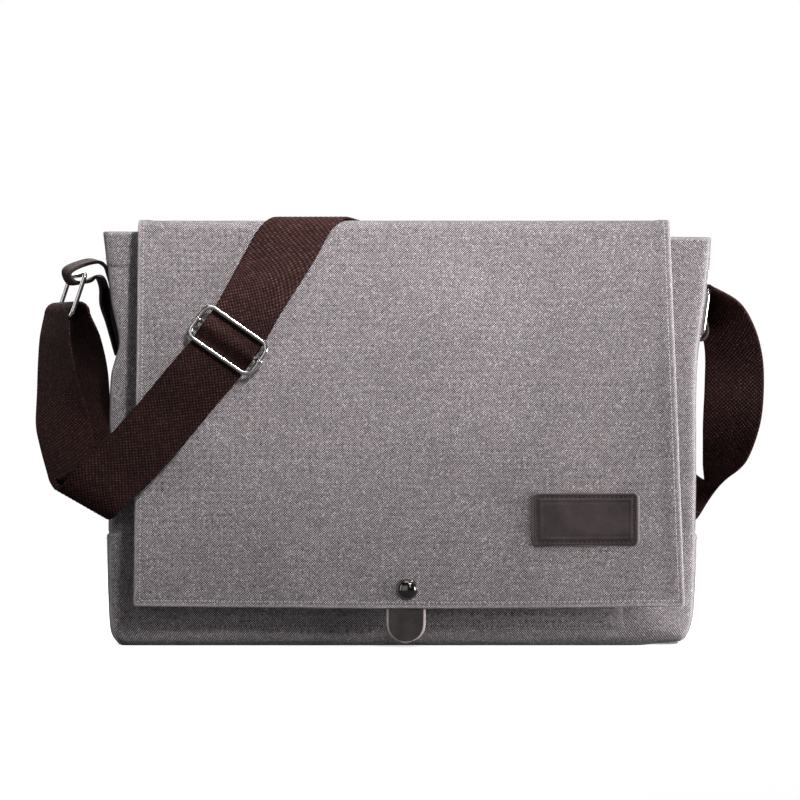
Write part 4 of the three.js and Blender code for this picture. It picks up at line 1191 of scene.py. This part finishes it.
# ---------------------------------------------------------------- stage, light and camera
floor_mesh = bpy.data.meshes.new("floor")
bm = bmesh.new()
bmesh.ops.create_grid(bm, x_segments=8, y_segments=8, size=12.0)
bm.to_mesh(floor_mesh)
bm.free()
floor = link("floor", floor_mesh)
g = Graph(bpy.data.materials.new("floor_white"))
g.tree.nodes.remove(g.tree.nodes["Principled BSDF"])
WHITE = (1, 1, 1, 1)
glow = g.node("ShaderNodeEmission", {"Color": WHITE, "Strength": 0.64})
paint = g.node("ShaderNodeBsdfDiffuse", {"Color": (0.86, 0.86, 0.865, 1)})
near = g.node("ShaderNodeAddShader", {0: paint, 1: glow})
far = g.node("ShaderNodeEmission", {"Color": WHITE, "Strength": 1.0})
distance = g.node("ShaderNodeVectorMath", {0: g.place()}, 1, operation="LENGTH")
fading = g.node("ShaderNodeMapRange", {0: distance, 1: 0.55, 2: 1.3}, interpolation_type="SMOOTHSTEP")
lit = g.node("ShaderNodeMixShader", {0: fading, 1: near, 2: far})
dim = g.node("ShaderNodeBsdfDiffuse", {"Color": (0.2, 0.2, 0.2, 1)})
g.put(g.tree.nodes["Material Output"].inputs["Surface"],
      g.node("ShaderNodeMixShader", {0: g.node("ShaderNodeLightPath"), 1: dim, 2: lit}))
floor_mesh.materials.append(g.owner)

world = bpy.data.worlds.new("studio")
bpy.context.scene.world = world
g = Graph(world)
g.tree.nodes.clear()
depth = g.node("ShaderNodeSeparateXYZ", {0: g.node("ShaderNodeTexCoord")}, 1)
behind = g.node("ShaderNodeMapRange", {0: depth, 1: -1.0, 2: 1.0})
grey = g.ramp(behind, [(0.12, (0.16, 0.16, 0.165)), (0.75, 0.8)])
room = g.node("ShaderNodeBackground", {0: grey, 1: 0.16})
white = g.node("ShaderNodeBackground", {0: WHITE, 1: 1.0})
seen = g.node("ShaderNodeMixShader", {0: g.node("ShaderNodeLightPath"), 1: room, 2: white})
g.node("ShaderNodeOutputWorld", {0: seen}, None)


def lamp(name, kind, place, target, power, **settings):
    """A light that points at a target and isn't seen itself."""
    light = bpy.data.lights.new(name, kind)
    light.energy = power
    for key, value in settings.items():
        setattr(light, key, value)
    obj = link(name, light)
    obj.location = place
    obj.visible_camera = False
    obj.rotation_euler = (Vector(target) - Vector(place)).to_track_quat("-Z", "Y").to_euler()
    return obj


def softbox(name, place, target, size, power, size_y=None):
    return lamp(name, "AREA", place, target, power, shape="RECTANGLE", size=size, size_y=size_y or size)


lamp("key_spot", "SPOT", (0.40, -0.95, 1.0), (-0.03, -0.05, 0.44), 90.0,
     spot_size=math.radians(39), spot_blend=1.0, shadow_soft_size=0.10)
softbox("key", (-0.04, -0.24, 0.62), (0.0, -0.05, 0.2), 0.3, 0.8)
softbox("right", (0.62, -0.20, 0.12), (0.1, -0.02, 0.12), 0.26, 4.9)
softbox("fill", (-0.5, -1.7, 0.3), (0, 0, 0.15), 1.0, 2.6)
softbox("top", (0.0, 0.2, 1.25), (0, 0, 0.2), 0.9, 4)
softbox("rear", (-0.5, 1.5, 1.0), (0, 0, 0.15), 1.0, 22)
softbox("left", (-1.3, 0.5, 0.5), (-0.1, 0, 0.15), 0.8, 5.0)
for name, place in (("gleam_left", (-0.75, -0.75, 0.35)), ("gleam_front", (0.35, -1.3, 0.75))):
    softbox(name, place, (0, 0, 0.2), 0.16, 1.1, 0.7).visible_diffuse = False

VIEW_DISTANCE, VIEW_X, VIEW_Z, VIEW_WIDTH = 2.2, -0.0017, 0.1677, 0.5568
camera = bpy.data.cameras.new("camera")
camera.sensor_width = 36.0
camera.lens = camera.sensor_width * VIEW_DISTANCE / VIEW_WIDTH
camera_obj = link("camera", camera)
camera_obj.location = (VIEW_X, -VIEW_DISTANCE, VIEW_Z)
camera_obj.rotation_euler = (math.pi / 2, 0, 0)
bpy.context.scene.camera = camera_obj
bpy.context.scene.view_settings.view_transform = "Standard"
